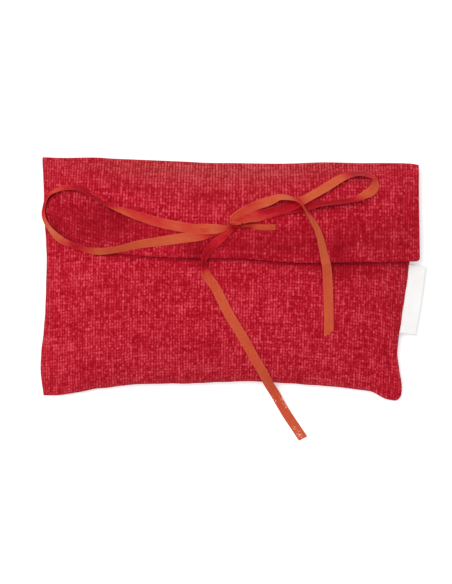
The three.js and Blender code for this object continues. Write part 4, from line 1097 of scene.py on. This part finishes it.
def makeLining():
    width, depth = pouch["width"], flap["depth"]
    acrossIn, downIn, crowd = lining["inset"] / width, lining["inset"] / depth, lining["crowd"]
    u = lerp(acrossIn, 1 - acrossIn, crowded(lining["columns"], crowd))[None, :]
    t = lerp(lining["start"] / depth, 1 - downIn, crowded(lining["rows"], crowd))[:, None]
    grid = flapBase(u, t)
    inward = ease(np.minimum(fromSide(u), (1 - t) * depth) / lining["sideReach"])
    drop = ease((t * depth - lining["dropFrom"]) / lining["dropOver"])
    grid[..., 2] -= lerp(lining["below"], lining["belowMiddle"], inward) * drop
    piece = makeSheet("flap_lining_cloth", grid, clothUv(grid, *lining["threads"]), liningCotton)
    thicken(piece, lining["thickness"])
    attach(piece, "flap")
    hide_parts("flap_lining")


makeFlap()
makeLining()
print("flap and lining made")

# The side tape: folded double and sewn into the right seam, bare white. A wave has how much, pace and start
tape = {
    "top": (56.59, 5.6, 3.3), "foot": (53.85, -16.4, 2.95), "reach": 5.9, "droop": 12, "thickness": 0.22,
    "fold": 0.33, "root": 0.7, "rootClosed": 0.55, "rootReach": 1.5, "rows": 60, "flatColumns": 16,
    "foldColumns": 13, "threads": 13.4, "waves": [(0.22, 3.1, 0.6), (-0.1, 8, 0)],
    "hinge": (54.2254, -16.4536, 3.3432), "stillTo": 0.3, "turnsFrom": 0.5,
}


def makeTape():
    top, foot = np.array(tape["top"]), np.array(tape["foot"])
    down = unit(foot - top)
    across = unit(np.array([-down[1], down[0], 0.0]))
    up = np.cross(down, across)
    droop = math.radians(tape["droop"])
    out = across * math.cos(droop) - up * math.sin(droop)
    rise = across * math.sin(droop) + up * math.cos(droop)
    # the folded tape in section: out along its upper layer, round the fold and back
    r, fold = tape["fold"], tape["reach"] - tape["fold"]
    section = [(x, r) for x in np.linspace(-tape["root"], fold, tape["flatColumns"])]
    bend = np.linspace(0, math.pi, tape["foldColumns"])[1:-1]
    section += [(fold + r * math.sin(angle), r * math.cos(angle)) for angle in bend]
    section += [(x, -r) for x in np.linspace(fold, -tape["root"], tape["flatColumns"])]
    away, height = np.array(section).T
    closed = lerp(tape["rootClosed"], 1, ease(away / tape["rootReach"]))
    grid = []
    for share in np.linspace(0, 1, tape["rows"]):
        flex = sum(much * math.sin(pace * share + start) for much, pace, start in tape["waves"])
        lift = height * closed + flex * (np.maximum(away, 0) / tape["reach"]) ** 2
        grid.append(lerp(top, foot, share) + away[:, None] * out + lift[:, None] * rise)
    grid = np.array(grid)
    uv = clothUv(grid, tape["threads"], np.linalg.norm(foot - top))
    piece = makeSheet("side_tape_satin", grid, uv, tapeSatin, flip=True)
    thicken(piece, tape["thickness"], 1)
    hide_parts("side_tape")
    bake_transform(piece)


makeTape()
print("side tape made")

# Floor, light and background
studio = {
    "floor": (0.9, 0.9, 0.9), "floorGlow": 0.35, "floorSize": 6, "world": 0.6, "white": (1, 1, 1, 1),
    "key": 13.6, "keyPlace": (-0.5, 0.32, 1.4), "keySize": 1.1,
}


def cameraShare(tree):  # 1 for what the camera, a reflection or glass shows directly
    path = tree.nodes.new("ShaderNodeLightPath")
    seen = mathNode("MAXIMUM", path.outputs["Is Camera Ray"], path.outputs["Is Glossy Ray"])
    return mathNode("MAXIMUM", seen, path.outputs["Is Transmission Ray"])


def makeWorld():
    world = bpy.data.worlds.new("studio")
    bpy.context.scene.world = world
    world.use_nodes = True
    ground = world.node_tree.nodes["Background"]
    ground.inputs["Color"].default_value = studio["white"]
    strength = scaled(cameraShare(world.node_tree), 1 - studio["world"], studio["world"])
    feed(ground.inputs["Strength"], strength)


def makeFloor():
    bpy.ops.mesh.primitive_plane_add(size=studio["floorSize"])
    floor = bpy.context.object
    floor.name = "floor"
    settings = {"Base Color": (*studio["floor"], 1), "Roughness": 1, "Specular IOR Level": 0,
                "Emission Color": studio["white"]}
    pale, tree, shader = newMaterial("pale floor", settings)
    feed(shader.inputs["Emission Strength"], times(cameraShare(tree), studio["floorGlow"]))
    floor.data.materials.append(pale)


def makeKey():
    lamp = bpy.data.lights.new("key", "AREA")
    lamp.energy = studio["key"]
    lamp.shape = "DISK"
    lamp.size = studio["keySize"]
    key = bpy.data.objects.new("key", lamp)
    key.location = studio["keyPlace"]
    aim = -np.array(studio["keyPlace"])
    turn = math.atan2(aim[1], aim[0]) - math.pi / 2
    key.rotation_euler = (math.acos(-aim[2] / np.linalg.norm(aim)), 0, turn)
    bpy.context.scene.collection.objects.link(key)


makeWorld()
makeFloor()
makeKey()
bpy.context.scene.view_settings.view_transform = "Standard"
print("studio made")
